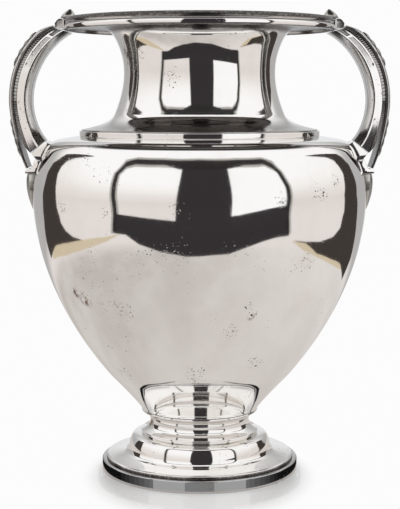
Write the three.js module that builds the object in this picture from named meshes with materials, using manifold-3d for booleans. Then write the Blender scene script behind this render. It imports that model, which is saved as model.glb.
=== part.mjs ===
// Two-handled silver amphora vase.
// Millimetres, +Z up, origin at the centre of the face it stands on.
// The handles lie on the X axis. The front of the vase faces -Y.
// Every piece is a separate sheet-metal or cast part, as it would lie on the bench before soldering.

import * as THREE from 'three';
import * as BufferGeometryUtils from 'three/addons/utils/BufferGeometryUtils.js';
import Module from 'manifold-3d';

const wasm = await Module();
wasm.setup();

// Common sizes
const SOLDER_GAP = 0.3;
const WALL = 1.5;
const TURNED_SIDES = 40;
const CURVE_STEPS = 7;

// Foot band, the plain strip that the vase stands on
const FOOT_RADIUS = 70;
const BAND_HEIGHT = 8.6;
const BAND_THICKNESS = 2.4;
const BAND_LEDGE = 6.8;
const BAND_ROUND = 1.0;

// Foot, a shallow plate that swells into a bell
const PLATE_INSET = 3;
const PLATE_EDGE = 1.7;
const PLATE_RISE = 2.2;
const BELL_RADIUS = 50.6;
const BELL_HEIGHT = 8.6;
const BELL_FILLET = 4.2;
const BELL_COLLAR = 1.9;

// Stem, a waisted spool between foot and bowl
const STEM_HEIGHT = 16.7;
const STEM_LIP_FLARE = 6.6;
const STEM_LIP_THICKNESS = 1.7;
const STEM_LIP_OVERHANG = 1.5;
const WAIST_RADIUS = 35.3;
const WAIST_HEIGHT = 8.6;
const STEM_TOP_FLARE = 6.2;
const STEM_FLANGE_WIDTH = 4.3;

// Bowl, raised in one piece with its shoulder
const BOWL_FOOT_INSET = 0.7;
const BOWL_COLLAR_FLARE = 2;
const BOWL_COLLAR_HEIGHT = 3.7;
const SWELL_RADIUS = 59.3;
const SWELL_HEIGHT = 21.6;
const BELLY_RADIUS = 117.2;
const BELLY_HEIGHT = 153.6;
const SHOULDER_INSET = 11.5;
const SHOULDER_RISE = 37.5;
const SHOULDER_PITCH = 3.4;
const SHOULDER_ROUND = 7.4;

// Shoulder ring, the flat moulding that covers the seam under the neck
const RING_RADIUS = 84.3;
const RING_HEIGHT = 3.9;
const RING_SEAT_WIDTH = 14.3;
const RING_ROUND = 0.5;

// Neck, flared at both ends
const NECK_HEIGHT = 71;
const NECK_RADIUS = 53;
const NECK_WAIST_HEIGHT = 39.7;
const NECK_FOOT_INSET = 1.5;
const NECK_FOOT_EDGE = 0.7;
const FLARE_RADIUS = 70;
const FLANGE_RADIUS = 91;
const FLANGE_THICKNESS = 1.5;

// Rim moulding, an applied wire with a bead over a band
const RIM_OVERHANG = 3.2;
const RIM_BEAD_HEIGHT = 4.6;
const RIM_BAND_HEIGHT = 4.0;
const RIM_BAND_DROP = 3.5;
const RIM_SEAT = 3.2;
const RIM_GROOVE = 1.6;

// Handles, each a heavy bar backed by a moulded strap
const HANDLE_REACH = 9.7;
const HANDLE_CROWN_DROP = 48.3;
const BAR_THICKNESS = 9.5;
const BAR_WIDTH = 26;
const BAR_INNER_WIDTH = 16;
const BAR_CREASE = 0.6;
const PANEL_DEPTH = 0.7;
const PANEL_END = 0.34;
const WEB_WIDTH = 21;
const WEB_DEPTH = 2.2;
const STRAP_WIDTH = 26;
const STRAP_EDGE = 1.8;
const STRAP_CROWN = 4.1;
const STRAP_MARGIN = 2.6;
const STRAP_TOP_FULLNESS = 0.55;
const STRAP_SWELL_SHARE = 0.1;
const STRAP_THINNING_START = 0.55;
const STRAP_TIP_FULLNESS = 0.7;
const STRAP_TIP_WIDTH = 21;
const STRAP_TIP_STAND_OFF = 6.1;
const STRAP_TIP_DROP = 21.9;
const BAR_STEPS = 8;
const STRAP_STEPS = 11;

// Cast leaves on the straps, at the rim and below the handles
const UPPER_FOLIAGE_RELIEF = 1.5;
const LOWER_FOLIAGE_RELIEF = 1.1;
const FOLIAGE_WIDTH = 20;
const FOLIAGE_LOBES = 4;
const FOLIAGE_STEPS = 16;
const RIM_LEAF_HEIGHT = 6.6;
const RIM_LEAF_WIDTH = 24;
const LEAF_DROP_WIDTH = 22;
const LEAF_DROP_LENGTH = 25;
const LEAF_DROP_THICKNESS = 6.7;
const LEAF_DROP_TIP_THICKNESS = 1.1;
const LEAF_DROP_STEPS = 8;
const BRACKET_DROP = 4.4;
const BLOCK_WIDTH = 26;
const BRACKET_WIDTH = 17;

// Levels stacked up from the standing face
const FOOT_BASE = BAND_HEIGHT;
const PLATE_TOP = FOOT_BASE + PLATE_EDGE + PLATE_RISE;
const BELL_BASE = PLATE_TOP + BELL_FILLET;
const STEM_BASE = BELL_BASE + BELL_HEIGHT + BELL_COLLAR;
const BOWL_BASE = STEM_BASE + STEM_HEIGHT;
const BELLY_LEVEL = BOWL_BASE + BELLY_HEIGHT;
const SHOULDER_CORNER_LEVEL = BELLY_LEVEL + SHOULDER_RISE;
const RING_BASE = SHOULDER_CORNER_LEVEL + SHOULDER_PITCH;
const NECK_BASE = RING_BASE + RING_HEIGHT;
const FLANGE_LEVEL = NECK_BASE + NECK_HEIGHT;
const RIM_SEAT_LEVEL = FLANGE_LEVEL + FLANGE_THICKNESS;
const RIM_BOTTOM = RIM_SEAT_LEVEL - RIM_BAND_DROP;
const RIM_BAND_TOP = RIM_BOTTOM + RIM_BAND_HEIGHT;
const RIM_TOP = RIM_BAND_TOP + RIM_BEAD_HEIGHT;
const HANDLE_CROWN = RIM_BOTTOM - HANDLE_CROWN_DROP;
const STRAP_TIP_LEVEL = RING_BASE - STRAP_TIP_DROP;

// Radii that follow the piece they meet
const PLATE_RADIUS = FOOT_RADIUS - PLATE_INSET;
const STEM_LIP_RADIUS = WAIST_RADIUS + STEM_LIP_FLARE;
const STEM_TOP_RADIUS = WAIST_RADIUS + STEM_TOP_FLARE;
const BELL_NECK_RADIUS = STEM_LIP_RADIUS - STEM_LIP_OVERHANG;
const FOOT_TOP_HOLE = WAIST_RADIUS - STEM_FLANGE_WIDTH;
const BOWL_FOOT_RADIUS = STEM_TOP_RADIUS - BOWL_FOOT_INSET;
const BOWL_OPENING = RING_RADIUS - RING_SEAT_WIDTH;
const NECK_FOOT_RADIUS = RING_RADIUS - NECK_FOOT_INSET;
const RIM_RADIUS = FLANGE_RADIUS + RIM_OVERHANG;
const SHOULDER_CORNER_RADIUS = BELLY_RADIUS - SHOULDER_INSET;
const HANDLE_SPAN = BELLY_RADIUS + HANDLE_REACH;

const root = new THREE.Group();
root.name = 'amphora_vase';

function silver(color, roughness) {
  return new THREE.MeshStandardMaterial({ color, roughness, metalness: 1 });
}

function addPiece(name, geometry, color = 0xd6d2cc, roughness = 0.14) {
  const piece = new THREE.Mesh(geometry, silver(color, roughness));
  piece.name = name;
  root.add(piece);
  return piece;
}

// Turned pieces: a profile of radius and height is revolved about Z

function signedArea(points) {
  let area = 0;
  points.forEach((point, i) => {
    const next = points[(i + 1) % points.length];
    area += point.x * next.y - next.x * point.y;
  });
  return area / 2;
}

function revolve(points) {
  const profile = signedArea(points) > 0 ? [...points] : [...points].reverse();
  const offAxis = profile.every((point) => point.x > 1e-6);
  if (offAxis) {
    profile.push(profile[0].clone());
  }
  const geometry = new THREE.LatheGeometry(profile, TURNED_SIDES);
  geometry.rotateX(Math.PI / 2);
  return geometry;
}

function normalAt(points, i) {
  const before = points[Math.max(i - 1, 0)];
  const after = points[Math.min(i + 1, points.length - 1)];
  const along = after.clone().sub(before).normalize();
  return new THREE.Vector2(along.y, -along.x);
}

// The inner face of a sheet-metal shell, parallel to its outer profile
function innerFace(points, wall) {
  return points.map((point, i) => point.clone().addScaledVector(normalAt(points, i), -wall));
}

function everyOther(points) {
  return points.filter((point, i) => i % 2 === 0 || i === points.length - 1);
}

function line(...pairs) {
  return pairs.map(([x, y]) => new THREE.Vector2(x, y));
}

function curve(start, pullStart, pullEnd, end, steps = CURVE_STEPS) {
  const vectors = [start, pullStart, pullEnd, end].map(([x, y]) => new THREE.Vector2(x, y));
  return new THREE.CubicBezierCurve(...vectors).getPoints(steps);
}

function bend(start, corner, end, steps = 3) {
  const vectors = [start, corner, end].map(([x, y]) => new THREE.Vector2(x, y));
  return new THREE.QuadraticBezierCurve(...vectors).getPoints(steps);
}

// Foot band: an angle-section ring with a rounded upper edge
function footBand() {
  const ledgeRadius = FOOT_RADIUS - BAND_LEDGE;
  const innerRadius = FOOT_RADIUS - BAND_THICKNESS;
  const ledgeUnderside = BAND_HEIGHT - WALL;
  return revolve([
    ...line([innerRadius, 0], [FOOT_RADIUS, 0]),
    ...bend(
      [FOOT_RADIUS, BAND_HEIGHT - BAND_ROUND],
      [FOOT_RADIUS, BAND_HEIGHT],
      [FOOT_RADIUS - 2 * BAND_ROUND, BAND_HEIGHT],
    ),
    ...line([ledgeRadius, BAND_HEIGHT], [ledgeRadius, ledgeUnderside], [innerRadius, ledgeUnderside]),
  ]);
}

// Foot: plate, quarter-round bell and a small neck under the stem, hollow underneath
function footShell() {
  const plateEdgeTop = FOOT_BASE + PLATE_EDGE;
  const bellTop = BELL_BASE + BELL_HEIGHT;
  const seatRadius = BELL_NECK_RADIUS;
  const outer = [
    ...line([PLATE_RADIUS, FOOT_BASE]),
    ...bend(
      [PLATE_RADIUS - 0.2, plateEdgeTop],
      [PLATE_RADIUS - 0.6, plateEdgeTop + 1],
      [PLATE_RADIUS - 2.6, plateEdgeTop + 1],
      2,
    ),
    ...bend(
      [BELL_RADIUS + 0.8 * BELL_FILLET, PLATE_TOP + 0.3],
      [BELL_RADIUS, PLATE_TOP + 0.6],
      [BELL_RADIUS, BELL_BASE],
      4,
    ),
    ...curve(
      [BELL_RADIUS, BELL_BASE],
      [BELL_RADIUS, BELL_BASE + 0.6 * BELL_HEIGHT],
      [BELL_RADIUS - 0.4 * (BELL_RADIUS - seatRadius), bellTop - 0.4],
      [seatRadius + 1.4, bellTop],
      4,
    ).slice(1),
    ...line([seatRadius + 0.1, bellTop + 0.5 * BELL_COLLAR], [seatRadius, STEM_BASE]),
    ...line([FOOT_TOP_HOLE, STEM_BASE]),
  ];
  const bellInside = seatRadius - 0.4;
  const inner = [
    ...line([FOOT_TOP_HOLE, STEM_BASE - WALL]),
    ...curve(
      [bellInside - 1, STEM_BASE - WALL],
      [BELL_RADIUS - WALL - 3.5, bellTop - 1.5],
      [BELL_RADIUS - WALL, BELL_BASE + 5],
      [BELL_RADIUS - WALL, BELL_BASE],
      2,
    ),
    ...line([BELL_RADIUS - WALL + 1.4, PLATE_TOP - WALL]),
    ...line([PLATE_RADIUS - 3.2, plateEdgeTop - 0.4], [PLATE_RADIUS - 3.2, FOOT_BASE]),
  ];
  return revolve([...outer, ...inner]);
}

// Stem: lip, concave waist and an upper flange that carries the bowl
function stemSpool() {
  const lipTop = STEM_BASE + STEM_LIP_THICKNESS;
  const waistLevel = STEM_BASE + WAIST_HEIGHT;
  const flangeUnderside = BOWL_BASE - 1.4;
  const outer = [
    ...line([STEM_LIP_RADIUS - 0.9, STEM_BASE]),
    ...bend(
      [STEM_LIP_RADIUS - 0.2, STEM_BASE + 0.3],
      [STEM_LIP_RADIUS + 0.2, STEM_BASE + 1],
      [STEM_LIP_RADIUS - 0.3, lipTop],
      2,
    ),
    ...curve(
      [STEM_LIP_RADIUS - 1.3, lipTop + 0.4],
      [STEM_LIP_RADIUS - 4.4, lipTop + 1.6],
      [WAIST_RADIUS, waistLevel - 3],
      [WAIST_RADIUS, waistLevel],
      3,
    ),
    ...curve(
      [WAIST_RADIUS, waistLevel],
      [WAIST_RADIUS + 0.3, waistLevel + 4],
      [STEM_TOP_RADIUS - 3, flangeUnderside - 1],
      [STEM_TOP_RADIUS - 0.4, flangeUnderside],
      4,
    ).slice(1),
    ...line([STEM_TOP_RADIUS, flangeUnderside + 0.5], [STEM_TOP_RADIUS - 0.2, BOWL_BASE]),
  ];
  const boreRadius = WAIST_RADIUS - WALL;
  const inner = line(
    [boreRadius, BOWL_BASE],
    [boreRadius, STEM_BASE + WALL],
    [FOOT_TOP_HOLE, STEM_BASE + WALL],
    [FOOT_TOP_HOLE, STEM_BASE],
  );
  return revolve([...outer, ...inner]);
}

// Outer profile of the bowl, from the edge of its flat underside to the top of its shoulder
function bowlProfile() {
  const swellLevel = BOWL_BASE + SWELL_HEIGHT;
  const swelling = BELLY_RADIUS - SWELL_RADIUS;
  const rise = BELLY_LEVEL - swellLevel;
  const shoulderSlope = SHOULDER_PITCH / (SHOULDER_CORNER_RADIUS - RING_RADIUS - 0.6);
  const shoulderStart = SHOULDER_CORNER_RADIUS - SHOULDER_ROUND;
  const corner = [SHOULDER_CORNER_RADIUS, SHOULDER_CORNER_LEVEL];
  const bellyTop = [
    SHOULDER_CORNER_RADIUS + 0.42 * SHOULDER_ROUND,
    SHOULDER_CORNER_LEVEL - 0.92 * SHOULDER_ROUND,
  ];
  const turnIn = BELLY_RADIUS - bellyTop[0];
  const turnRise = bellyTop[1] - BELLY_LEVEL;
  const collarRadius = BOWL_FOOT_RADIUS + BOWL_COLLAR_FLARE;
  const collarTop = BOWL_BASE + BOWL_COLLAR_HEIGHT;
  return [
    ...line([BOWL_FOOT_RADIUS - 0.5, BOWL_BASE], [BOWL_FOOT_RADIUS + 0.6, BOWL_BASE + 0.4]),
    ...line([collarRadius, collarTop]),
    ...curve(
      [collarRadius + 1, collarTop + 0.7],
      [collarRadius + 5.2, collarTop + 4.7],
      [SWELL_RADIUS - 4.6, swellLevel - 4.5],
      [SWELL_RADIUS, swellLevel],
      4,
    ),
    ...curve(
      [SWELL_RADIUS, swellLevel],
      [SWELL_RADIUS + 0.694 * swelling, swellLevel + 0.295 * rise],
      [BELLY_RADIUS, BELLY_LEVEL - 0.246 * rise],
      [BELLY_RADIUS, BELLY_LEVEL],
      9,
    ).slice(1),
    ...curve(
      [BELLY_RADIUS, BELLY_LEVEL],
      [BELLY_RADIUS, BELLY_LEVEL + 0.339 * turnRise],
      [bellyTop[0] + 0.595 * turnIn, bellyTop[1] - 0.355 * turnRise],
      bellyTop,
      4,
    ).slice(1),
    ...bend(bellyTop, corner, [shoulderStart, corner[1] + shoulderSlope * SHOULDER_ROUND], 4).slice(1),
    ...line([RING_RADIUS + 0.6, RING_BASE], [BOWL_OPENING, RING_BASE]),
  ];
}

function bowlShell() {
  const outer = bowlProfile();
  const inner = everyOther(innerFace(outer.slice(4, -2), WALL)).reverse();
  return revolve([
    ...line([0, BOWL_BASE]),
    ...outer,
    ...line([BOWL_OPENING, RING_BASE - WALL], [RING_RADIUS + 0.5, RING_BASE - WALL]),
    ...inner,
    ...line([BOWL_FOOT_RADIUS - 2.4, BOWL_BASE + WALL], [0, BOWL_BASE + WALL]),
  ]);
}

// Radius of the bowl's outside at a level, between two points of its profile
function bowlRadiusAt(level) {
  const profile = bowlProfile();
  const above = Math.max(1, profile.findIndex((point) => point.y >= level));
  const [low, high] = [profile[above - 1], profile[above]];
  return low.x + (high.x - low.x) * ((level - low.y) / (high.y - low.y));
}

function shoulderRing() {
  return revolve([
    ...line([BOWL_OPENING, RING_BASE], [RING_RADIUS - RING_ROUND, RING_BASE]),
    ...line([RING_RADIUS, RING_BASE + RING_ROUND], [RING_RADIUS, NECK_BASE - RING_ROUND]),
    ...line([RING_RADIUS - RING_ROUND, NECK_BASE], [BOWL_OPENING, NECK_BASE]),
  ]);
}

// Neck: a wide flare on the shoulder ring, a narrow waist and a flange under the rim moulding
function neckShell() {
  const waist = [NECK_RADIUS, NECK_BASE + NECK_WAIST_HEIGHT];
  const footFlare = NECK_FOOT_RADIUS - NECK_RADIUS;
  const mouthFlare = FLARE_RADIUS - NECK_RADIUS;
  const aboveWaist = NECK_HEIGHT - NECK_WAIST_HEIGHT;
  const outer = [
    ...curve(
      [NECK_FOOT_RADIUS, NECK_BASE + NECK_FOOT_EDGE],
      [NECK_FOOT_RADIUS - 0.725 * footFlare, NECK_BASE + 0.144 * NECK_WAIST_HEIGHT],
      [NECK_RADIUS, waist[1] - 0.793 * NECK_WAIST_HEIGHT],
      waist,
      8,
    ),
    ...curve(
      waist,
      [NECK_RADIUS, waist[1] + 0.543 * aboveWaist],
      [NECK_RADIUS + 0.265 * mouthFlare, FLANGE_LEVEL - 0.4],
      [FLARE_RADIUS, FLANGE_LEVEL],
      6,
    ).slice(1),
  ];
  const inner = everyOther(innerFace(outer, WALL)).reverse();
  inner[0].y = RIM_SEAT_LEVEL;
  inner[inner.length - 1].set(NECK_FOOT_RADIUS - 5, NECK_BASE);
  return revolve([
    ...line([NECK_FOOT_RADIUS, NECK_BASE]),
    ...outer,
    ...line([FLANGE_RADIUS, FLANGE_LEVEL], [FLANGE_RADIUS, RIM_SEAT_LEVEL]),
    ...inner,
  ]);
}

// Rim moulding: a rounded bead above, a groove, and a rounded band that hides the flange edge
function rimProfile() {
  const innerRadius = FLANGE_RADIUS - RIM_SEAT;
  return [
    ...line([innerRadius, RIM_SEAT_LEVEL], [FLANGE_RADIUS + SOLDER_GAP, RIM_SEAT_LEVEL]),
    ...line([FLANGE_RADIUS + SOLDER_GAP, RIM_BOTTOM], [RIM_RADIUS - 0.9, RIM_BOTTOM]),
    ...bend(
      [RIM_RADIUS - 0.3, RIM_BOTTOM + 0.3],
      [RIM_RADIUS + 0.3, RIM_BOTTOM + 0.5 * RIM_BAND_HEIGHT],
      [RIM_RADIUS - 0.3, RIM_BAND_TOP - 0.3],
    ),
    ...line([RIM_RADIUS - RIM_GROOVE, RIM_BAND_TOP]),
    ...bend(
      [RIM_RADIUS - 0.9, RIM_BAND_TOP + 0.5],
      [RIM_RADIUS + 0.1, RIM_BAND_TOP + 0.52 * RIM_BEAD_HEIGHT],
      [RIM_RADIUS - 1.6, RIM_TOP],
      3,
    ),
    ...line([innerRadius + 1, RIM_TOP], [innerRadius, RIM_TOP - 1]),
  ];
}

addPiece('foot_band', footBand(), 0x8f8b88, 0.2);
addPiece('foot', footShell());
addPiece('stem', stemSpool());
addPiece('bowl', bowlShell(), 0xcfcac4, 0.12);
addPiece('shoulder_ring', shoulderRing());
addPiece('neck', neckShell());
addPiece('rim_moulding', revolve(rimProfile()));

// Solids for joining and cutting

function toSolid(geometry) {
  const plain = geometry.clone();
  plain.deleteAttribute('normal');
  plain.deleteAttribute('uv');
  const welded = BufferGeometryUtils.mergeVertices(plain, 1e-4);
  const vertProperties = Float32Array.from(welded.attributes.position.array);
  const triVerts = Uint32Array.from(welded.index.array);
  return new wasm.Manifold(new wasm.Mesh({ numProp: 3, vertProperties, triVerts }));
}

function toGeometry(solid) {
  const mesh = solid.getMesh();
  const geometry = new THREE.BufferGeometry();
  geometry.setAttribute('position', new THREE.BufferAttribute(Float32Array.from(mesh.vertProperties), 3));
  geometry.setIndex(new THREE.BufferAttribute(Uint32Array.from(mesh.triVerts), 1));
  geometry.computeVertexNormals();
  return geometry;
}

// A side outline in X and Z, given a width across Y
function sideCut(points, width) {
  const shape = new THREE.Shape(points.map(([x, z]) => new THREE.Vector2(x, z)));
  const geometry = new THREE.ExtrudeGeometry(shape, { depth: width, bevelEnabled: false });
  geometry.rotateX(Math.PI / 2);
  geometry.translate(0, width / 2, 0);
  return toSolid(geometry);
}

// A front outline in Y and Z, pushed along X from one radius to another
function faceCut(points, fromX, toX) {
  const shape = new THREE.Shape(points);
  const geometry = new THREE.ExtrudeGeometry(shape, { depth: toX - fromX, bevelEnabled: false });
  geometry.rotateX(Math.PI / 2);
  geometry.rotateZ(Math.PI / 2);
  geometry.translate(fromX, 0, 0);
  return toSolid(geometry);
}

// What the castings are filed to fit: the bowl and the rim, each with its solder gap
const bowlSeat = (() => {
  const outer = innerFace(bowlProfile(), -SOLDER_GAP).slice(1, -2);
  const top = outer[outer.length - 1];
  return toSolid(revolve([...line([0, outer[0].y]), ...outer, ...line([0, top.y])]));
})();
const rimSeat = toSolid(revolve(line(
  [0, RIM_BOTTOM - SOLDER_GAP],
  [RIM_RADIUS + SOLDER_GAP, RIM_BOTTOM - SOLDER_GAP],
  [RIM_RADIUS + SOLDER_GAP, RIM_TOP],
  [0, RIM_TOP],
)));

// Handle lines in X and Z. They hang from the rim and stand on the shoulder of the bowl.
const BAR_TOP_OUTER = [RIM_RADIUS + 5.1, RIM_BOTTOM + 1.0];
const BAR_TOP_INNER = [RIM_RADIUS - 5, RIM_BOTTOM - 1.4];
const BAR_END_OUTER = [SHOULDER_CORNER_RADIUS + 12.1, RING_BASE - 11.2];
const BAR_END_INNER = [SHOULDER_CORNER_RADIUS + 2.2, RING_BASE - 3.1];

function handleLine(...spans) {
  const path = new THREE.CurvePath();
  spans.forEach((span) => {
    path.add(new THREE.CubicBezierCurve(...span.map(([x, z]) => new THREE.Vector2(x, z))));
  });
  return path;
}

const barOuter = handleLine(
  [
    BAR_TOP_OUTER,
    [BAR_TOP_OUTER[0] + 13.5, BAR_TOP_OUTER[1] - 7],
    [HANDLE_SPAN, HANDLE_CROWN + 0.54 * HANDLE_CROWN_DROP],
    [HANDLE_SPAN, HANDLE_CROWN],
  ],
  [
    [HANDLE_SPAN, HANDLE_CROWN],
    [HANDLE_SPAN, HANDLE_CROWN - 12],
    [BAR_END_OUTER[0] + 4.5, BAR_END_OUTER[1] + 8.7],
    BAR_END_OUTER,
  ],
);
const barInner = handleLine(
  [
    BAR_TOP_INNER,
    [BAR_TOP_INNER[0] + 15, BAR_TOP_INNER[1] - 7],
    [HANDLE_SPAN - BAR_THICKNESS, HANDLE_CROWN + 0.415 * HANDLE_CROWN_DROP],
    [HANDLE_SPAN - BAR_THICKNESS, HANDLE_CROWN],
  ],
  [
    [HANDLE_SPAN - BAR_THICKNESS, HANDLE_CROWN],
    [HANDLE_SPAN - BAR_THICKNESS, HANDLE_CROWN - 11],
    [BAR_END_INNER[0] + 5.5, BAR_END_INNER[1] + 6],
    BAR_END_INNER,
  ],
);

// Skin over a row of closed sections, with both ends filled
function loft(sections) {
  const count = sections[0].length;
  const vertices = sections.flat().flatMap((point) => [point.x, point.y, point.z]);
  const index = [];
  for (let i = 0; i < sections.length - 1; i += 1) {
    for (let j = 0; j < count; j += 1) {
      const a = i * count + j;
      const b = i * count + ((j + 1) % count);
      index.push(a, b, a + count, b, b + count, a + count);
    }
  }
  const endFace = (section, offset, forward) => {
    const origin = section[0];
    const across = section[Math.floor(count / 2)].clone().sub(origin).setY(0).normalize();
    const flat = section.map((point) => new THREE.Vector2(point.clone().sub(origin).dot(across), point.y));
    const ringTurn = Math.sign(signedArea(flat));
    THREE.ShapeUtils.triangulateShape([...flat], []).forEach(([a, b, c]) => {
      const sameTurn = Math.sign(signedArea([flat[a], flat[b], flat[c]])) === ringTurn;
      const corners = sameTurn === forward ? [a, b, c] : [c, b, a];
      index.push(...corners.map((corner) => corner + offset));
    });
  };
  endFace(sections[0], 0, false);
  endFace(sections[sections.length - 1], (sections.length - 1) * count, true);
  const geometry = new THREE.BufferGeometry();
  geometry.setAttribute('position', new THREE.Float32BufferAttribute(vertices, 3));
  geometry.setIndex(index);
  geometry.computeVertexNormals();
  return geometry;
}

function turnOutward(geometry) {
  const position = geometry.attributes.position;
  const index = geometry.index.array;
  let volume = 0;
  const [a, b, c] = [new THREE.Vector3(), new THREE.Vector3(), new THREE.Vector3()];
  for (let i = 0; i < index.length; i += 3) {
    a.fromBufferAttribute(position, index[i]);
    b.fromBufferAttribute(position, index[i + 1]);
    c.fromBufferAttribute(position, index[i + 2]);
    volume += a.dot(b.cross(c));
  }
  if (volume < 0) {
    index.reverse();
  }
  geometry.computeVertexNormals();
  return geometry;
}

// The web and the strap are thin where they leave the rim and swell to their full depth
function swellFromRim(t) {
  return Math.min(1, STRAP_TOP_FULLNESS + (1 - STRAP_TOP_FULLNESS) * (t / STRAP_SWELL_SHARE));
}

// Handle bar: bordered sides with a sunk panel at the top, a chamfered inner face, and a narrow web
// that spaces off the strap
function handleBar() {
  const sections = [];
  const half = BAR_WIDTH / 2;
  const innerHalf = BAR_INNER_WIDTH / 2;
  const webHalf = WEB_WIDTH / 2;
  const steps = 2 * BAR_STEPS;
  for (let i = 0; i <= steps; i += 1) {
    const t = i / steps;
    const span = Math.min(Math.floor(2 * t), 1);
    const local = 2 * t - span;
    const outer = barOuter.curves[span].getPoint(local);
    const inner = barInner.curves[span].getPoint(local);
    const outward = outer.clone().sub(inner).normalize();
    const across = (share) => outer.clone().lerp(inner, share);
    const crease = across(BAR_CREASE);
    const sunk = half - PANEL_DEPTH * THREE.MathUtils.clamp((PANEL_END - t) / 0.12, 0, 1);
    const webFullness = Math.min(swellFromRim(t), 0.25 + 8 * (1 - t));
    const webTop = outer.clone().addScaledVector(outward, WEB_DEPTH * webFullness);
    const side = [
      [inner, innerHalf], [crease, half], [across(0.47), half], [across(0.44), sunk],
      [across(0.17), sunk], [across(0.14), half], [outer, half], [outer, webHalf], [webTop, webHalf],
    ];
    const mirrored = side.map(([point, y]) => [point, -y]);
    const station = [...mirrored, ...side.reverse()];
    sections.push(station.map(([point, y]) => new THREE.Vector3(point.x, y, point.y)));
  }
  return turnOutward(loft(sections));
}

// Line of the strap's inner face: parallel to the bar, then straying from it to reach the bowl's side
const STRAP_TIP_RADIUS = bowlRadiusAt(STRAP_TIP_LEVEL) + STRAP_TIP_STAND_OFF;
const strapUpper = barOuter.curves[0];
const strapLower = new THREE.CubicBezierCurve(
  new THREE.Vector2(HANDLE_SPAN + WEB_DEPTH + SOLDER_GAP, HANDLE_CROWN),
  new THREE.Vector2(HANDLE_SPAN + WEB_DEPTH + SOLDER_GAP, HANDLE_CROWN - 13),
  new THREE.Vector2(STRAP_TIP_RADIUS + 5.4, STRAP_TIP_LEVEL + 13.5),
  new THREE.Vector2(STRAP_TIP_RADIUS, STRAP_TIP_LEVEL),
);

// Share of the strap's full depth along its length: it thins again towards its tip
function strapFullness(t) {
  const towardsTip = (t - STRAP_THINNING_START) / (1 - STRAP_THINNING_START);
  return Math.min(swellFromRim(t), 1 - (1 - STRAP_TIP_FULLNESS) * towardsTip);
}

function strapNarrowing(t) {
  return 1 - Math.max(0, (1 - STRAP_TIP_WIDTH / STRAP_WIDTH) * ((t - 0.8) / 0.2));
}

function strapFrame(t) {
  const upper = t < 0.5;
  const local = upper ? 0.015 + 0.985 * 2 * t : 2 * t - 1;
  const line2d = upper ? strapUpper : strapLower;
  const along = line2d.getTangent(local);
  const outward = new THREE.Vector2(-along.y, along.x);
  const point = line2d.getPoint(local);
  if (upper) {
    point.addScaledVector(outward, WEB_DEPTH * strapFullness(t) + SOLDER_GAP);
  }
  return { point, outward };
}

// Height of the strap's crowned back over its inner face, at a distance from its middle
function strapBack(y) {
  const half = STRAP_WIDTH / 2 - STRAP_MARGIN;
  const across = Math.min(Math.abs(y) / half, 1);
  return STRAP_EDGE + (STRAP_CROWN - STRAP_EDGE) * Math.sqrt(1 - 0.94 * across * across);
}

function handleStrap() {
  const half = STRAP_WIDTH / 2;
  const groove = half - 2.2;
  const crown = half - STRAP_MARGIN;
  const sections = [];
  const steps = 2 * STRAP_STEPS;
  for (let i = 0; i <= steps; i += 1) {
    const t = i / steps;
    const { point, outward } = strapFrame(t);
    const back = [
      [0, -half], [STRAP_EDGE, -half], [STRAP_EDGE, -groove], [STRAP_EDGE - 0.5, -crown - 0.1],
      [strapBack(crown), -crown], [strapBack(6), -6], [strapBack(0), 0], [strapBack(6), 6],
      [strapBack(crown), crown], [STRAP_EDGE - 0.5, crown + 0.1], [STRAP_EDGE, groove],
      [STRAP_EDGE, half], [0, half],
    ];
    sections.push(back.map(([depth, y]) => {
      const at = point.clone().addScaledVector(outward, depth * strapFullness(t));
      return new THREE.Vector3(at.x, y * strapNarrowing(t), at.y);
    }));
  }
  return turnOutward(loft(sections));
}

// Cast foliage on the back of the strap: lobed leaves that swell and pinch along it
function foliage(from, to, fullRelief) {
  const sections = [];
  const halfWidth = FOLIAGE_WIDTH / 2;
  for (let i = 0; i <= FOLIAGE_STEPS; i += 1) {
    const s = i / FOLIAGE_STEPS;
    const t = from + (to - from) * s;
    const { point, outward } = strapFrame(t);
    const lobe = Math.abs(Math.sin(FOLIAGE_LOBES * Math.PI * s));
    const taper = Math.min(1, 0.35 + 4 * s, 0.35 + 4 * (1 - s));
    const half = halfWidth * taper * (0.72 + 0.28 * lobe);
    const relief = fullRelief * (0.55 + 0.45 * lobe);
    const under = (y) => strapBack(y / strapNarrowing(t)) * strapFullness(t) + SOLDER_GAP;
    const ring = [
      [under(half), -half], [under(half) + 0.5 * relief, -0.9 * half],
      [under(half / 2) + 0.85 * relief, -0.5 * half], [under(0) + relief, 0],
      [under(half / 2) + 0.85 * relief, 0.5 * half], [under(half) + 0.5 * relief, 0.9 * half],
      [under(half), half], [under(half / 2), half / 2], [under(0), 0], [under(half / 2), -half / 2],
    ];
    sections.push(ring.map(([depth, y]) => {
      const at = point.clone().addScaledVector(outward, depth);
      return new THREE.Vector3(at.x, y, at.y);
    }));
  }
  return turnOutward(loft(sections));
}

// Clasp: the faceted knuckle between the bar and the rim moulding
function rimClasp() {
  const [x, z] = BAR_TOP_OUTER;
  return toGeometry(sideCut([
    [RIM_RADIUS - 3, RIM_BOTTOM + 0.2],
    [x + 0.2, z + 0.6],
    [x + 0.9, z + 3.8],
    [x - 0.6, RIM_TOP - 1.6],
    [x - 2.4, RIM_TOP - SOLDER_GAP],
    [RIM_RADIUS - 3, RIM_TOP - SOLDER_GAP],
  ], BAR_WIDTH).subtract(rimSeat));
}

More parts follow.
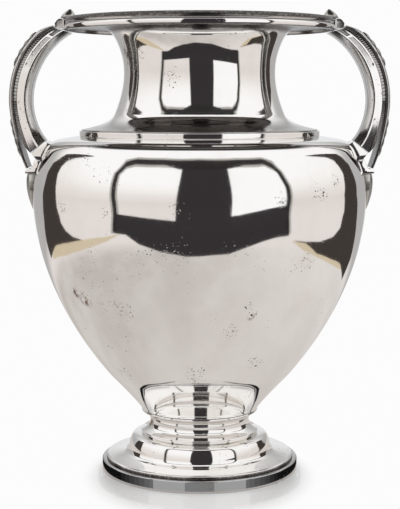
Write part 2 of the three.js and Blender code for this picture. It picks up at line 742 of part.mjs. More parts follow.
function leafOutline(halfWidth, tip, shoulder, base) {
  const outline = new THREE.Shape();
  outline.moveTo(-0.75 * halfWidth, base);
  outline.lineTo(0.75 * halfWidth, base);
  const middle = (shoulder + tip) / 2;
  const nearTip = (shoulder + 3 * tip) / 4;
  outline.quadraticCurveTo(1.1 * halfWidth, shoulder, 0.62 * halfWidth, middle);
  outline.quadraticCurveTo(0.2 * halfWidth, nearTip, 0, tip);
  outline.quadraticCurveTo(-0.2 * halfWidth, nearTip, -0.62 * halfWidth, middle);
  outline.quadraticCurveTo(-1.1 * halfWidth, shoulder, -0.75 * halfWidth, base);
  const points = outline.getPoints(4);
  points.pop();
  return points;
}

// Rim leaf: a small pointed leaf that stands on the rim over each handle
function rimLeaf() {
  const side = sideCut([
    [RIM_RADIUS - 8.3, RIM_TOP],
    [RIM_RADIUS + 2.9, RIM_TOP],
    [RIM_RADIUS + 2.3, RIM_TOP + 2],
    [RIM_RADIUS - 4, RIM_TOP + RIM_LEAF_HEIGHT],
    [RIM_RADIUS - 7.7, RIM_TOP + 2.8],
  ], RIM_LEAF_WIDTH);
  const top = RIM_TOP + RIM_LEAF_HEIGHT;
  const leaf = leafOutline(RIM_LEAF_WIDTH / 2, top, RIM_TOP + 2.2, RIM_TOP - 1);
  return toGeometry(side.intersect(faceCut(leaf, RIM_RADIUS - 10, RIM_RADIUS + 5)));
}

// Shoulder block: the lozenge-sided foot of the bar, filed to the shoulder of the bowl
function shoulderBlock() {
  const [ox, oz] = BAR_END_OUTER;
  const [ix, iz] = BAR_END_INNER;
  const gap = SOLDER_GAP;
  return toGeometry(sideCut([
    [ox - gap, oz - gap],
    [ix - gap, iz - gap],
    [ix - 3, iz - 4],
    [ix, iz - 15],
    [ox - 4.6, oz - 6.2],
  ], BLOCK_WIDTH).subtract(bowlSeat));
}

// Scroll bracket: the forked piece between the foot of the strap and the bowl
function scrollBracket() {
  const x = STRAP_TIP_RADIUS;
  const z = STRAP_TIP_LEVEL;
  const outline = [
    [x - 5.4, z + 5.4],
    [x - 3.9, z + 5.8],
    [x - 3.0, z + 2.2],
    [x - 1.6, z - 0.2],
    [x + 0.4, z - SOLDER_GAP - 0.5],
    [x + 3.1, z - 2.1],
    [x + 3.0, z - BRACKET_DROP],
    [x - 8, z - BRACKET_DROP],
    [x - 8, z + 1],
  ];
  return toGeometry(sideCut(outline, BRACKET_WIDTH).subtract(bowlSeat));
}

// Leaf drop: the long pointed leaf that lies on the bowl below each handle, crowned along its middle
function leafDrop() {
  const top = STRAP_TIP_LEVEL - BRACKET_DROP - SOLDER_GAP;
  const middle = top - 0.45 * LEAF_DROP_LENGTH;
  const tip = top - LEAF_DROP_LENGTH;
  const back = Math.min(bowlRadiusAt(top), bowlRadiusAt(tip)) - 7;
  const crownLine = bend(
    [STRAP_TIP_RADIUS + 2, top],
    [bowlRadiusAt(middle) + LEAF_DROP_THICKNESS, middle],
    [bowlRadiusAt(tip) + LEAF_DROP_TIP_THICKNESS, tip],
    LEAF_DROP_STEPS,
  );
  const sections = crownLine.map((crown, i) => {
    const s = i / LEAF_DROP_STEPS;
    const taper = 0.06 + 0.94 * Math.sqrt(1 - s * s);
    const half = (LEAF_DROP_WIDTH / 2) * taper * (0.8 + 0.5 * Math.sin(Math.PI * s));
    const edge = crown.x - 0.3 * half;
    const ring = [
      [back, -half], [edge, -half], [crown.x - 0.07 * half, -0.5 * half], [crown.x, 0],
      [crown.x - 0.07 * half, 0.5 * half], [edge, half], [back, half],
    ];
    return ring.map(([x, y]) => new THREE.Vector3(x, y, crown.y));
  });
  return toGeometry(toSolid(turnOutward(loft(sections))).subtract(bowlSeat));
}

// Both handles come from the same castings, so the left is the right turned half round
const castings = {
  handle_bar: [handleBar(), 0xdcd9d4, 0.14],
  handle_strap: [handleStrap(), 0xb9b5ae, 0.2],
  upper_foliage: [foliage(0.12, 0.34, UPPER_FOLIAGE_RELIEF), 0x8c877f, 0.3],
  lower_foliage: [foliage(0.64, 0.9, LOWER_FOLIAGE_RELIEF), 0x8c877f, 0.3],
  rim_clasp: [rimClasp(), 0xa8a49e, 0.22],
  rim_leaf: [rimLeaf(), 0xb4b0a9, 0.28],
  shoulder_block: [shoulderBlock(), 0xcdc9c2, 0.18],
  scroll_bracket: [scrollBracket(), 0xcdc9c2, 0.18],
  leaf_drop: [leafDrop(), 0xb4b0a9, 0.26],
};

['right', 'left'].forEach((side, turn) => {
  Object.entries(castings).forEach(([name, [geometry, color, roughness]]) => {
    const piece = addPiece(`${name}_${side}`, geometry, color, roughness);
    piece.rotation.z = turn * Math.PI;
  });
});

export default root;
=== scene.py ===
import math

import bmesh
import bpy
from mathutils import Matrix, Vector

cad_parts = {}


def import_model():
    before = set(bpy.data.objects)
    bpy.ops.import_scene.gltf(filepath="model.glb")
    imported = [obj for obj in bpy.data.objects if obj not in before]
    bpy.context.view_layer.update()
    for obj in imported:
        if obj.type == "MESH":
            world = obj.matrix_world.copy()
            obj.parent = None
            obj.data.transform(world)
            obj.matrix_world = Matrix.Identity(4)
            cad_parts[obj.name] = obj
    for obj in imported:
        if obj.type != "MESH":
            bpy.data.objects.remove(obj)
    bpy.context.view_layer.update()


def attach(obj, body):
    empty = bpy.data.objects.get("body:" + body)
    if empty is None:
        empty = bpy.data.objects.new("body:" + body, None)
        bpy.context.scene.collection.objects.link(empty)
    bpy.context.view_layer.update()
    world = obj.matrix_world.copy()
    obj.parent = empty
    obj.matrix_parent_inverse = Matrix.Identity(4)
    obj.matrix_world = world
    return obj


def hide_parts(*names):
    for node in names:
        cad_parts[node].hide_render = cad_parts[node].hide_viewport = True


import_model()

# Polished silver amphora vase: sizes below are in millimetres, the meshes in metres
MM = 0.001
TURNED_STEPS = 288
SHARP_ANGLE = math.radians(32)
CORNER_ANGLE = math.radians(25)
MERGE_DISTANCE = 1e-7
SOLDER_GAP = 0.3
WALL = 1.5

# Levels of the turned pieces, stacked up from the standing face
FOOT_BASE = 8.6
BELL_BASE = 16.7
STEM_BASE = 27.2
BOWL_BASE = 43.9
RING_BASE = 238.4
NECK_BASE = 242.3
FLANGE_LEVEL = 313.3
RIM_SEAT = 314.8
RIM_BOTTOM = 311.3
RIM_TOP = 319.9

# Radii that other pieces are fitted to
FOOT_RADIUS = 70
FOOT_LEDGE_RADIUS = 63.2
STEM_OPENING = 31
BELL_RADIUS = 50.6
WAIST_RADIUS = 35.3
BELLY_RADIUS = 117.2
BELLY_LEVEL = 197.5
BOWL_OPENING = 70
RING_RADIUS = 84.3
NECK_FOOT_RADIUS = 82.8
NECK_RADIUS = 53
NECK_WAIST_LEVEL = 282
FLARE_RADIUS = 70
FLANGE_RADIUS = 91
RIM_RADIUS = 94.2


# Lines and profiles

def part_way(value, none, full):
    """How far a value has come from none towards full, held between 0 and 1."""
    return max(0, min(1, (value - none) / (full - none)))


def cubic(ends, t):
    """A point of a smooth line, from 0 at its start to 1 at its end; the two middle points pull it."""
    start, pull_start, pull_end, end = (Vector(point) for point in ends)
    s = 1 - t
    return start * s ** 3 + pull_start * 3 * s * s * t + pull_end * 3 * s * t * t + end * t ** 3


def curve(*ends, steps=16):
    """Points along one smooth line, with its start and its end."""
    return [tuple(cubic(ends, i / steps)) for i in range(steps + 1)]


def bend(start, corner, end, steps=6):
    """A rounded turn from start to end that stays inside the corner."""
    first = Vector(start).lerp(Vector(corner), 2 / 3)
    second = Vector(end).lerp(Vector(corner), 2 / 3)
    return curve(start, first, second, end, steps=steps)


def softened(profile, radius, closed=True, steps=3):
    """Rounds each real corner of a profile, and leaves its smooth stretches alone."""
    result = []
    count = len(profile)
    for i, corner in enumerate(profile):
        at_end = not closed and i in (0, count - 1)
        here = Vector(corner)
        before = Vector(profile[i - 1]) - here
        after = Vector(profile[(i + 1) % count]) - here
        turn = 0 if at_end else math.pi - before.angle(after, math.pi)
        if turn < CORNER_ANGLE:
            result.append(tuple(corner))
            continue
        start = here + before.normalized() * min(radius, 0.4 * before.length)
        end = here + after.normalized() * min(radius, 0.4 * after.length)
        result.extend(bend(start, here, end, steps=steps))
    return result


# Meshes

def finished(name, mesh, slot, node):
    """Turns a bmesh into a piece that rides with the vase and stands for its CAD node."""
    bmesh.ops.remove_doubles(mesh, verts=mesh.verts, dist=MERGE_DISTANCE)
    bmesh.ops.recalc_face_normals(mesh, faces=mesh.faces)
    data = bpy.data.meshes.new(name)
    mesh.to_mesh(data)
    mesh.free()
    data.shade_smooth()
    data.set_sharp_from_angle(angle=SHARP_ANGLE)
    piece = bpy.data.objects.new(name, data)
    bpy.context.scene.collection.objects.link(piece)
    data.materials.append(MATERIALS[slot])
    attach(piece, "root")
    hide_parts(node)
    return piece


def marked(mesh, points):
    """Adds points in millimetres: a fourth number, where given, says how much painted shade and tarnish the
    place gets.
    """
    layer = mesh.verts.layers.float.get("hollow") or mesh.verts.layers.float.new("hollow")
    verts = []
    for x, y, z, *hollow in points:
        vert = mesh.verts.new((x * MM, y * MM, z * MM))
        vert[layer] = hollow[0] if hollow else 0
        verts.append(vert)
    return verts


def turned(name, profile, slot, closed=True, hollow_at=lambda radius, level: 0):
    """Revolves a profile of radius and level about the vase's axis."""
    mesh = bmesh.new()
    verts = marked(mesh, [(radius, 0, level, hollow_at(radius, level)) for radius, level in profile])
    ends = verts[1:] + verts[:1] if closed else verts[1:]
    edges = [mesh.edges.new(pair) for pair in zip(verts, ends)]
    bmesh.ops.spin(
        mesh, geom=verts + edges, axis=(0, 0, 1), cent=(0, 0, 0),
        steps=TURNED_STEPS, angle=2 * math.pi, use_merge=True, use_duplicate=False,
    )
    finished(name + "_silver", mesh, slot, name)


def lofted(sections):
    """Skins a row of closed sections, given in millimetres, and fills both ends."""
    mesh = bmesh.new()
    loops = []
    for section in sections:
        verts = marked(mesh, section)
        loops.append([mesh.edges.new(pair) for pair in zip(verts, verts[1:] + verts[:1])])
    for near, far in zip(loops, loops[1:]):
        bmesh.ops.bridge_loops(mesh, edges=near + far)
    for end in (loops[0], loops[-1]):
        bmesh.ops.triangle_fill(mesh, edges=end, use_beauty=True)
    return mesh


def on_both_handles(name, mesh, slot):
    """The left casting is the right one turned half round."""
    bmesh.ops.remove_doubles(mesh, verts=mesh.verts, dist=MERGE_DISTANCE)
    for side, turns in (("right", 0), ("left", 1)):
        copy = mesh.copy()
        half_turn = Matrix.Rotation(turns * math.pi, 3, "Z")
        bmesh.ops.rotate(copy, verts=copy.verts, cent=(0, 0, 0), matrix=half_turn)
        finished(f"{name}_{side}_silver", copy, slot, f"{name}_{side}")
    mesh.free()


# Materials

def srgb(*levels):
    """Linear light of a colour given in the usual 0 to 255 levels."""
    linear = []
    for level in levels:
        share = level / 255
        linear.append(share / 12.92 if level < 11 else ((share + 0.055) / 1.055) ** 2.4)
    return tuple(linear)


class Graph:
    """Places and joins nodes: a socket is given by the node that feeds it, or by a plain value."""

    def __init__(self, tree):
        self.tree = tree

    def node(self, kind, settings=None, **inputs):
        made = self.tree.nodes.new("ShaderNode" + kind)
        for name, value in (settings or {}).items():
            setattr(made, name, value)
        for name, value in inputs.items():
            self.feed(made.inputs[name.replace("_", " ")], value)
        return made

    def feed(self, socket, value):
        if isinstance(value, bpy.types.NodeSocket):
            self.tree.links.new(value, socket)
        else:
            socket.default_value = value

    def maths(self, operation, *values, clamp=False):
        made = self.tree.nodes.new("ShaderNodeMath")
        made.operation = operation
        made.use_clamp = clamp
        for socket, value in zip(made.inputs, values):
            self.feed(socket, value)
        return made.outputs[0]

    def ramp(self, value, low, high, start=0.0, end=1.0):
        """Smooth step of a value from low to high."""
        made = self.node("MapRange", {"interpolation_type": "SMOOTHSTEP"}, Value=value)
        for name, number in zip(("From Min", "From Max", "To Min", "To Max"), (low, high, start, end)):
            made.inputs[name].default_value = number
        return made.outputs["Result"]

    def blend(self, factor, first, second):
        made = self.tree.nodes.new("ShaderNodeMix")
        made.data_type = "RGBA"
        self.feed(made.inputs[0], factor)
        for socket, colour in ((made.inputs[6], first), (made.inputs[7], second)):
            self.feed(socket, colour if isinstance(colour, bpy.types.NodeSocket) else (*colour, 1))
        return made.outputs[2]

    def noise(self, place, scale, detail=3.0, roughness=0.6):
        made = self.node("TexNoise", Vector=place, Scale=scale, Detail=detail, Roughness=roughness)
        return made.outputs["Fac"]


def group(name, inputs, outputs):
    """An empty node group with named sockets, and the graph to fill it."""
    tree = bpy.data.node_groups.new(name, "ShaderNodeTree")
    for title, default in inputs.items():
        socket = tree.interface.new_socket(title, in_out="INPUT", socket_type="NodeSocketFloat")
        socket.default_value = default
    for title in outputs:
        tree.interface.new_socket(title, in_out="OUTPUT", socket_type="NodeSocketFloat")
    given = tree.nodes.new("NodeGroupInput").outputs
    result = tree.nodes.new("NodeGroupOutput").inputs
    return tree, Graph(tree), given, result


# Clusters of corrosion pits and stained spots on the front: x, y, z and reach in millimetres
PIT_CLUSTERS = (
    (31, -97, 133, 5), (33, -93, 127, 6), (69, -87, 160, 9), (60, -93, 156, 5), (-90, -75, 194, 6),
    (-60, -101, 193, 5), (89, -73, 211, 7), (76, -86, 204, 10), (-50, -88, 128, 11), (-52, -51, 78, 10),
    (37, -70, 91, 9), (20, -92, 115, 8), (-2, -73, 83, 10), (-45, -38, 294, 12), (-54, -9, 297, 9),
    (-18, -50, 279, 9), (-47, -26, 295, 19), (-52, -16, 304, 12), (51, -104, 200, 8), (-106, -37, 161, 4),
    (122, -13, 249, 5), (-122, -13, 252, 6),
)
STAIN_SPOTS = (
    (-75, -69, 133, 8), (-82, -64, 136, 5), (33, -93, 125, 4), (-49, -22, 293, 8), (-36, -8, 36, 9),
)
SPOT_CORE = 0.3

# Three sizes of pit: cells to the metre, reach within a cell, and how readily they crowd in a cluster
PIT_SIZES = ((260, 0.26, 0.3), (480, 0.3, 0.5), (900, 0.36, 0.6))
PIT_CORE = 0.4
PIT_RAGGEDNESS = 0.0016

# Stretches of the noise that smears the film, and of the fine scratches in three directions
SMEAR_STRETCH = (30, 30, 7)
SCRATCH_STRETCHES = ((900, 900, 60), (240, 700, 1100), (1000, 90, 700))
SCRATCH_TURN = (0.4, 0.7, 0.2)


def spots(graph, place, centres):
    """Mask that is 1 at each centre and fades to 0 at its reach."""
    total = 0.0
    for x, y, z, reach in centres:
        offset = graph.node("VectorMath", {"operation": "DISTANCE"})
        graph.feed(offset.inputs[0], place)
        offset.inputs[1].default_value = (x * MM, y * MM, z * MM)
        near = graph.ramp(offset.outputs["Value"], SPOT_CORE * reach * MM, reach * MM, 1.0, 0.0)
        total = graph.maths("MAXIMUM", total, near)
    return total


def pitting_group():
    """Small dark pits: loose ones all over, and crowded ones in the clusters."""
    tree, graph, given, result = group("pitting", {"Loose": 0.5}, ("Pits",))
    place = graph.node("TexCoord").outputs["Object"]
    crowd = spots(graph, place, PIT_CLUSTERS)
    patches = graph.ramp(graph.noise(place, 24), 0.5, 0.72)
    wanted = graph.maths("MAXIMUM", crowd, graph.maths("MULTIPLY", patches, given["Loose"]))
    wavy = graph.node("TexNoise", Vector=place, Scale=700, Detail=2).outputs["Color"]
    shifted = graph.node("VectorMath", {"operation": "SCALE"}, Scale=PIT_RAGGEDNESS)
    graph.feed(shifted.inputs[0], wavy)
    ragged = graph.node("VectorMath", {"operation": "ADD"})
    graph.feed(ragged.inputs[0], place)
    graph.feed(ragged.inputs[1], shifted.outputs[0])
    pits = 0.0
    for scale, reach, crowding in PIT_SIZES:
        cells = graph.node("TexVoronoi", {"feature": "F1"}, Vector=ragged.outputs[0], Scale=scale)
        lottery = graph.node("SeparateColor", Color=cells.outputs["Color"]).outputs["Red"]
        luck = graph.maths("ADD", lottery, graph.maths("MULTIPLY", wanted, crowding))
        chosen = graph.ramp(luck, 1.0, 1.12)
        dot = graph.ramp(cells.outputs["Distance"], PIT_CORE * reach, reach, 1.0, 0.0)
        pits = graph.maths("MAXIMUM", pits, graph.maths("MULTIPLY", dot, chosen))
    graph.feed(result["Pits"], pits)
    return tree


def tarnish_group():
    """Cloudy film, with a brown bloom in the stained spots."""
    tree, graph, given, result = group("tarnish", {"Film": 0.3}, ("Film", "Stain", "Scratches"))
    place = graph.node("TexCoord").outputs["Object"]
    cloud = graph.ramp(graph.noise(place, 16, 5), 0.42, 0.78)
    smear = graph.node("Mapping", Vector=place, Scale=SMEAR_STRETCH).outputs["Vector"]
    cloud = graph.maths("ADD", cloud, graph.ramp(graph.noise(smear, 1.0, 4), 0.45, 0.8, 0.0, 0.6))
    graph.feed(result["Film"], graph.maths("MULTIPLY", cloud, given["Film"], clamp=True))
    ragged = graph.ramp(graph.noise(place, 240, 4), 0.4, 0.62)
    graph.feed(result["Stain"], graph.maths("MULTIPLY", spots(graph, place, STAIN_SPOTS), ragged))
    marks = 0.0
    for stretch in SCRATCH_STRETCHES:
        lengthwise = graph.node("Mapping", Vector=place, Scale=stretch, Rotation=SCRATCH_TURN)
        scratch = graph.ramp(graph.noise(lengthwise.outputs["Vector"], 1.0, 1), 0.66, 0.74)
        marks = graph.maths("MAXIMUM", marks, scratch)
    graph.feed(result["Scratches"], marks)
    return tree


GROUPS = {"pitting": pitting_group(), "tarnish": tarnish_group()}
FILM_TINT = (0.8, 0.77, 0.72)
# Grey of the hollow mark: painted shade in creases, under edges and between parts, and tarnish in hollows
SHADE_AND_TARNISH_GREY = srgb(82, 78, 75)
STAIN_BROWN = srgb(120, 92, 66)
PIT_BLACK = srgb(44, 38, 34)
PIT_DEPTH = 0.00014
SCRATCH_SHARE = 0.02


def silver(name, colour, roughness, loose=0.5, film=0.35):
    """Silver with pits, stains, a tarnish film, and painted shade and tarnish in the hollows marked by the
    mesh.
    """
    material = bpy.data.materials.new(name)
    material.use_nodes = True
    graph = Graph(material.node_tree)
    shader = material.node_tree.nodes["Principled BSDF"]
    shader.inputs["Metallic"].default_value = 1.0
    pitting = graph.node("Group", {"node_tree": GROUPS["pitting"]}, Loose=loose)
    tarnish = graph.node("Group", {"node_tree": GROUPS["tarnish"]}, Film=film)
    # The hollow mark paints shade and tarnish into the colour and dulls the gloss
    depth = graph.node("Attribute", {"attribute_name": "hollow"}).outputs["Fac"]
    grain = graph.noise(graph.node("TexCoord").outputs["Object"], 700)
    depth = graph.maths("MULTIPLY", depth, graph.ramp(grain, 0.3, 0.6, 0.85, 1.1), clamp=True)
    film_mask = tarnish.outputs["Film"]
    stain_mask = tarnish.outputs["Stain"]
    pit_mask = pitting.outputs["Pits"]

    filmed = tuple(bright * tint for bright, tint in zip(colour, FILM_TINT))
    tone = graph.blend(film_mask, colour, filmed)
    for mask, shade in ((depth, SHADE_AND_TARNISH_GREY), (stain_mask, STAIN_BROWN), (pit_mask, PIT_BLACK)):
        tone = graph.blend(mask, tone, shade)
    graph.feed(shader.inputs["Base Color"], tone)

    dull = roughness
    for operation, mask, amount in (
        ("ADD", film_mask, 0.06), ("ADD", depth, 0.2),
        ("MAXIMUM", pit_mask, 0.6), ("MAXIMUM", stain_mask, 0.45),
    ):
        dull = graph.maths(operation, dull, graph.maths("MULTIPLY", mask, amount))
    graph.feed(shader.inputs["Roughness"], dull)

    height = graph.maths("MULTIPLY", pit_mask, -1.0)
    scratches = graph.maths("MULTIPLY", tarnish.outputs["Scratches"], SCRATCH_SHARE)
    height = graph.maths("SUBTRACT", height, scratches)
    bump = graph.node("Bump", Strength=0.5, Distance=PIT_DEPTH, Height=height)
    graph.feed(shader.inputs["Normal"], bump.outputs["Normal"])
    return material


def plain_material(name, colour, roughness):
    """A material of one colour and one gloss."""
    material = bpy.data.materials.new(name)
    material.use_nodes = True
    shader = material.node_tree.nodes["Principled BSDF"]
    shader.inputs["Base Color"].default_value = (*colour, 1)
    shader.inputs["Roughness"].default_value = roughness
    return material


MATERIALS = {
    "polished_silver": silver("polished_silver", (0.95, 0.938, 0.925), 0.05, loose=0.36),
    "foot_band_silver": silver("foot_band_silver", (0.58, 0.58, 0.585), 0.1, film=0.6),
    "cast_silver": silver("cast_silver", (0.95, 0.94, 0.925), 0.08, loose=0.6),
    "chased_silver": silver("chased_silver", (0.66, 0.64, 0.6), 0.22, loose=1.0, film=0.8),
}


# Turned pieces

def foot_band():
    """The plain strip that the vase stands on, with a ledge inside that carries the foot."""
    top = [(FOOT_RADIUS, 7.6), (FOOT_RADIUS, FOOT_BASE), (FOOT_RADIUS - 2, FOOT_BASE)]
    inside = FOOT_RADIUS - 2.4
    ledge = [
        (FOOT_LEDGE_RADIUS, FOOT_BASE), (FOOT_LEDGE_RADIUS, FOOT_BASE - WALL), (inside, FOOT_BASE - WALL),
    ]
    profile = [(inside, 0), (FOOT_RADIUS, 0), *bend(*top), *ledge]
    turned("foot_band", softened(profile, 0.3), "foot_band_silver")


def foot():
    """A thin shell: a shallow plate that swells into the bell, open underneath."""
    outer = [
        (67, FOOT_BASE),
        *bend((66.8, 10.3), (66.4, 11.3), (64.4, 11.3)),
        *bend((54.4, 12.8), (51.8, 13.4), (BELL_RADIUS + 0.2, BELL_BASE), steps=10),
        *curve((BELL_RADIUS + 0.2, BELL_BASE), (50.4, 19.4), (49.6, 22.2), (48.2, 24.4), steps=20)[1:],
        *curve((48.2, 24.4), (47.5, 25.6), (46, 26.1), (41.8, 26.2), steps=12)[1:],
        (40.5, 26.5),
        (40.4, STEM_BASE),
        (STEM_OPENING, STEM_BASE),
    ]
    inner = [
        (STEM_OPENING, STEM_BASE - WALL),
        *curve((39, 25.7), (45.6, 23.8), (49.1, 21.7), (49.1, BELL_BASE), steps=8),
        (50.5, 11),
        (63.8, 9.9),
        (63.8, FOOT_BASE),
    ]
    turned("foot", softened(outer + inner, 0.3), "polished_silver", hollow_at=foot_edge_shade)


def foot_edge_shade(radius, level):
    """Painted shade: a dark line where the plate's low edge meets the band."""
    on_edge = radius > 66 and level > FOOT_BASE - 0.5
    return part_way(level, 10.7, 10.2) if on_edge else 0


def stem():
    """A waisted spool with a lip below and a flange above."""
    waist = (WAIST_RADIUS, 35.8)
    outer = [
        (41, STEM_BASE),
        *bend((41.7, 27.5), (42.1, 28.2), (41.6, 28.9)),
        *curve((40.6, 29.3), (37.5, 30.5), (WAIST_RADIUS, 32.8), waist, steps=12),
        *curve(waist, (WAIST_RADIUS + 0.3, 39.8), (38.5, 41.5), (41.1, 42.5), steps=12)[1:],
        (41.5, 43),
        (41.3, BOWL_BASE),
    ]
    bore = WAIST_RADIUS - WALL
    inner = [
        (bore, BOWL_BASE), (bore, STEM_BASE + WALL),
        (STEM_OPENING, STEM_BASE + WALL), (STEM_OPENING, STEM_BASE),
    ]
    turned("stem", softened(outer + inner, 0.25), "polished_silver")


BELLY = (BELLY_RADIUS, BELLY_LEVEL)
BOWL_PROFILE = [
    (40.3, BOWL_BASE),
    (41.4, BOWL_BASE + 0.4),
    *curve((42.8, 46.6), (46.8, 51.9), (56.4, 62.2), (61.6, 67.5), steps=24),
    *curve((61.6, 67.5), (63.5, 69.5), (65.8, 72), (67.6, 74.3), steps=8)[1:],
    *curve((67.6, 74.3), (111, 127.8), (BELLY_RADIUS, 175.5), BELLY, steps=40)[1:],
    *curve(BELLY, (BELLY_RADIUS, 207.9), (113.8, 217.3), (108.8, 228.2), steps=14)[1:],
    *bend((108.8, 228.2), (105.7, 235), (98.3, 236.2), steps=12)[1:],
    (RING_RADIUS + 0.6, RING_BASE),
]


def bowl_radius(level):
    """Radius of the bowl's outside at a level, between two points of its profile."""
    for (low_radius, low), (high_radius, high) in zip(BOWL_PROFILE, BOWL_PROFILE[1:]):
        if low <= level <= high:
            return low_radius + (high_radius - low_radius) * (level - low) / (high - low)
    return BELLY_RADIUS


def inner_wall(outer, wall, every=2):
    """Points parallel to an outer profile, from its far end back to its start."""
    points = []
    for i in range(len(outer) - 2, 0, -every):
        along = Vector(outer[i + 1]) - Vector(outer[i - 1])
        along.normalize()
        points.append(tuple(Vector(outer[i]) + Vector((-along.y, along.x)) * wall))
    return points


def bowl():
    """The body and the shoulder in one piece, closed below and open at the top."""
    mouth = [(BOWL_OPENING, RING_BASE), (BOWL_OPENING, RING_BASE - WALL), (84.8, RING_BASE - WALL)]
    floor = [(38.4, BOWL_BASE + WALL), (0, BOWL_BASE + WALL)]
    inside = inner_wall(BOWL_PROFILE[6:-1], WALL)
    profile = [(0, BOWL_BASE), *BOWL_PROFILE, *mouth, *inside, *floor]
    turned("bowl", softened(profile, 0.3, closed=False), "polished_silver", closed=False)


def shoulder_ring():
    """The flat moulding over the seam between the shoulder and the neck."""
    profile = [
        (BOWL_OPENING, RING_BASE), (RING_RADIUS, RING_BASE),
        (RING_RADIUS, NECK_BASE), (BOWL_OPENING, NECK_BASE),
    ]
    turned("shoulder_ring", softened(profile, 0.7, steps=5), "polished_silver")


def neck():
    """A narrow waist, flared on to the ring below and into the flange above."""
    waist = (NECK_RADIUS, NECK_WAIST_LEVEL)
    outer = [
        *curve((NECK_FOOT_RADIUS, 243), (65, 246.2), (60.6, 250.7), (59.4, 254.2), steps=20),
        *curve((59.4, 254.2), (55.7, 263.2), (NECK_RADIUS, 273), waist, steps=20)[1:],
        *curve(waist, (NECK_RADIUS, 290), (54.3, 296), (57.8, 303.7), steps=20)[1:],
        *curve((57.8, 303.7), (59.6, 307.6), (63, 313.1), (FLARE_RADIUS, FLANGE_LEVEL), steps=16)[1:],
    ]
    inner = [(FLARE_RADIUS, RIM_SEAT), *inner_wall(outer, WALL), (77.8, NECK_BASE)]
    flange = [(FLANGE_RADIUS, FLANGE_LEVEL), (FLANGE_RADIUS, RIM_SEAT)]
    profile = softened([(NECK_FOOT_RADIUS, NECK_BASE), *outer, *flange, *inner], 0.25)
    turned("neck", profile, "polished_silver", hollow_at=neck_film_and_shade)


def neck_film_and_shade(radius, level):
    """Film left where a cloth can't reach in the hollow foot of the neck, and painted shade under the rim.
    """
    if level > FLANGE_LEVEL + 0.5:
        return 0
    return 0.55 * part_way(level, 250, 245) + 0.95 * part_way(level, 308.5, 311)


def rim_moulding():
    """An applied wire, a bead over a rounded band, that closes round the flange's edge."""
    profile = [
        (87.8, RIM_SEAT),
        (91.3, RIM_SEAT),
        (91.3, RIM_BOTTOM),
        (93.3, RIM_BOTTOM),
        *bend((93.9, 311.6), (94.5, 313.3), (93.9, 315)),
        (92.6, 315.3),
        *bend((93.3, 315.8), (94.3, 317.7), (92.6, RIM_TOP), steps=8),
        (88.8, RIM_TOP),
        (87.8, RIM_TOP - 1),
    ]
    turned("rim_moulding", softened(profile, 0.25), "polished_silver", hollow_at=rim_shade)


def rim_shade(radius, level):
    """Painted shade: a dark line in the groove under the bead, grey on the bead and along the lower edge.
    """
    groove = part_way(abs(level - 315.4), 0.4, 0)
    outside = part_way(radius, 92.3, 92.6)
    bead = outside * (0.35 + 0.6 * part_way(level, 316.6, 317.2)) if level > 315.8 else 0
    edge = part_way(level, 312.4, 311.6)
    return max(groove, bead, 0.8 * edge)


# Handles

# The bar's outer and inner lines seen from the front, from the rim over the crown to the shoulder
CROWN = 263
SPAN = 126.9
INNER_SPAN = SPAN - 9.5
BAR_END_OUTER = (117.8, 227.2)
BAR_END_INNER = (107.9, 235.3)
BAR_TOP_OUTER = (99.3, 312.3)
BAR_TOP_INNER = (89.2, 309.9)
BAR_OUTER = (
    (BAR_TOP_OUTER, (112.8, 305.3), (SPAN, 289), (SPAN, CROWN)),
    ((SPAN, CROWN), (SPAN, 251), (122.3, 235.9), BAR_END_OUTER),
)
BAR_INNER = (
    (BAR_TOP_INNER, (104.2, 302.9), (INNER_SPAN, 283), (INNER_SPAN, CROWN)),
    ((INNER_SPAN, CROWN), (INNER_SPAN, 252), (113.4, 241.3), BAR_END_INNER),
)
BAR_HALF = 13
BAR_TILT = 1.2
PANEL_DEPTH = 0.7
RIB_START = 0.075
RIB_END = 0.1
WEB_HALF = 10.5
WEB_DEPTH = 2.2
WEB_RIDGES = 64
STRAP_STEPS = 64
STRAP_TIP = (119.6, 216.5)
STRAP_SPINE = SPAN + WEB_DEPTH + SOLDER_GAP
STRAP_LOWER = ((STRAP_SPINE, CROWN), (STRAP_SPINE, 250), (125, 230), STRAP_TIP)
STRAP_HALF = 13
STRAP_EDGE = 1.8
STRAP_CROWN = 4.1
STRAP_MARGIN = 2.6
STRAP_SETBACK = 0.015
TOP_FULLNESS = 0.55
SWELL_LENGTH = 0.1
THINNING_START = 0.55
TIP_THINNING = 0.3
NARROWING_START = 0.8
TIP_NARROWING = 1 - 21 / 26


def on_line(spans, t):
    """A point of a line in two spans, from 0 at the rim over 0.5 at the crown to 1."""
    span = min(int(2 * t), 1)
    return cubic(spans[span], 2 * t - span)


def swell_from_rim(t):
    """The web and the strap are thin where they leave the rim, and soon reach their full depth."""
    return TOP_FULLNESS + (1 - TOP_FULLNESS) * part_way(t, 0, SWELL_LENGTH)


def panel_depth(t):
    """The sunk panel of the bar's side: short by the rim, then a cross rib, then long and fading."""
    on_rib = RIB_START < t < RIB_END
    return 0 if on_rib else PANEL_DEPTH * part_way(t, 0.34, 0.22)


def panel_shade_and_tarnish(t):
    """Tarnish and painted shade: dark in the short panel by the rim, and fading with the long one."""
    return 0.8 if t < RIB_START else 0.7 * panel_depth(t)


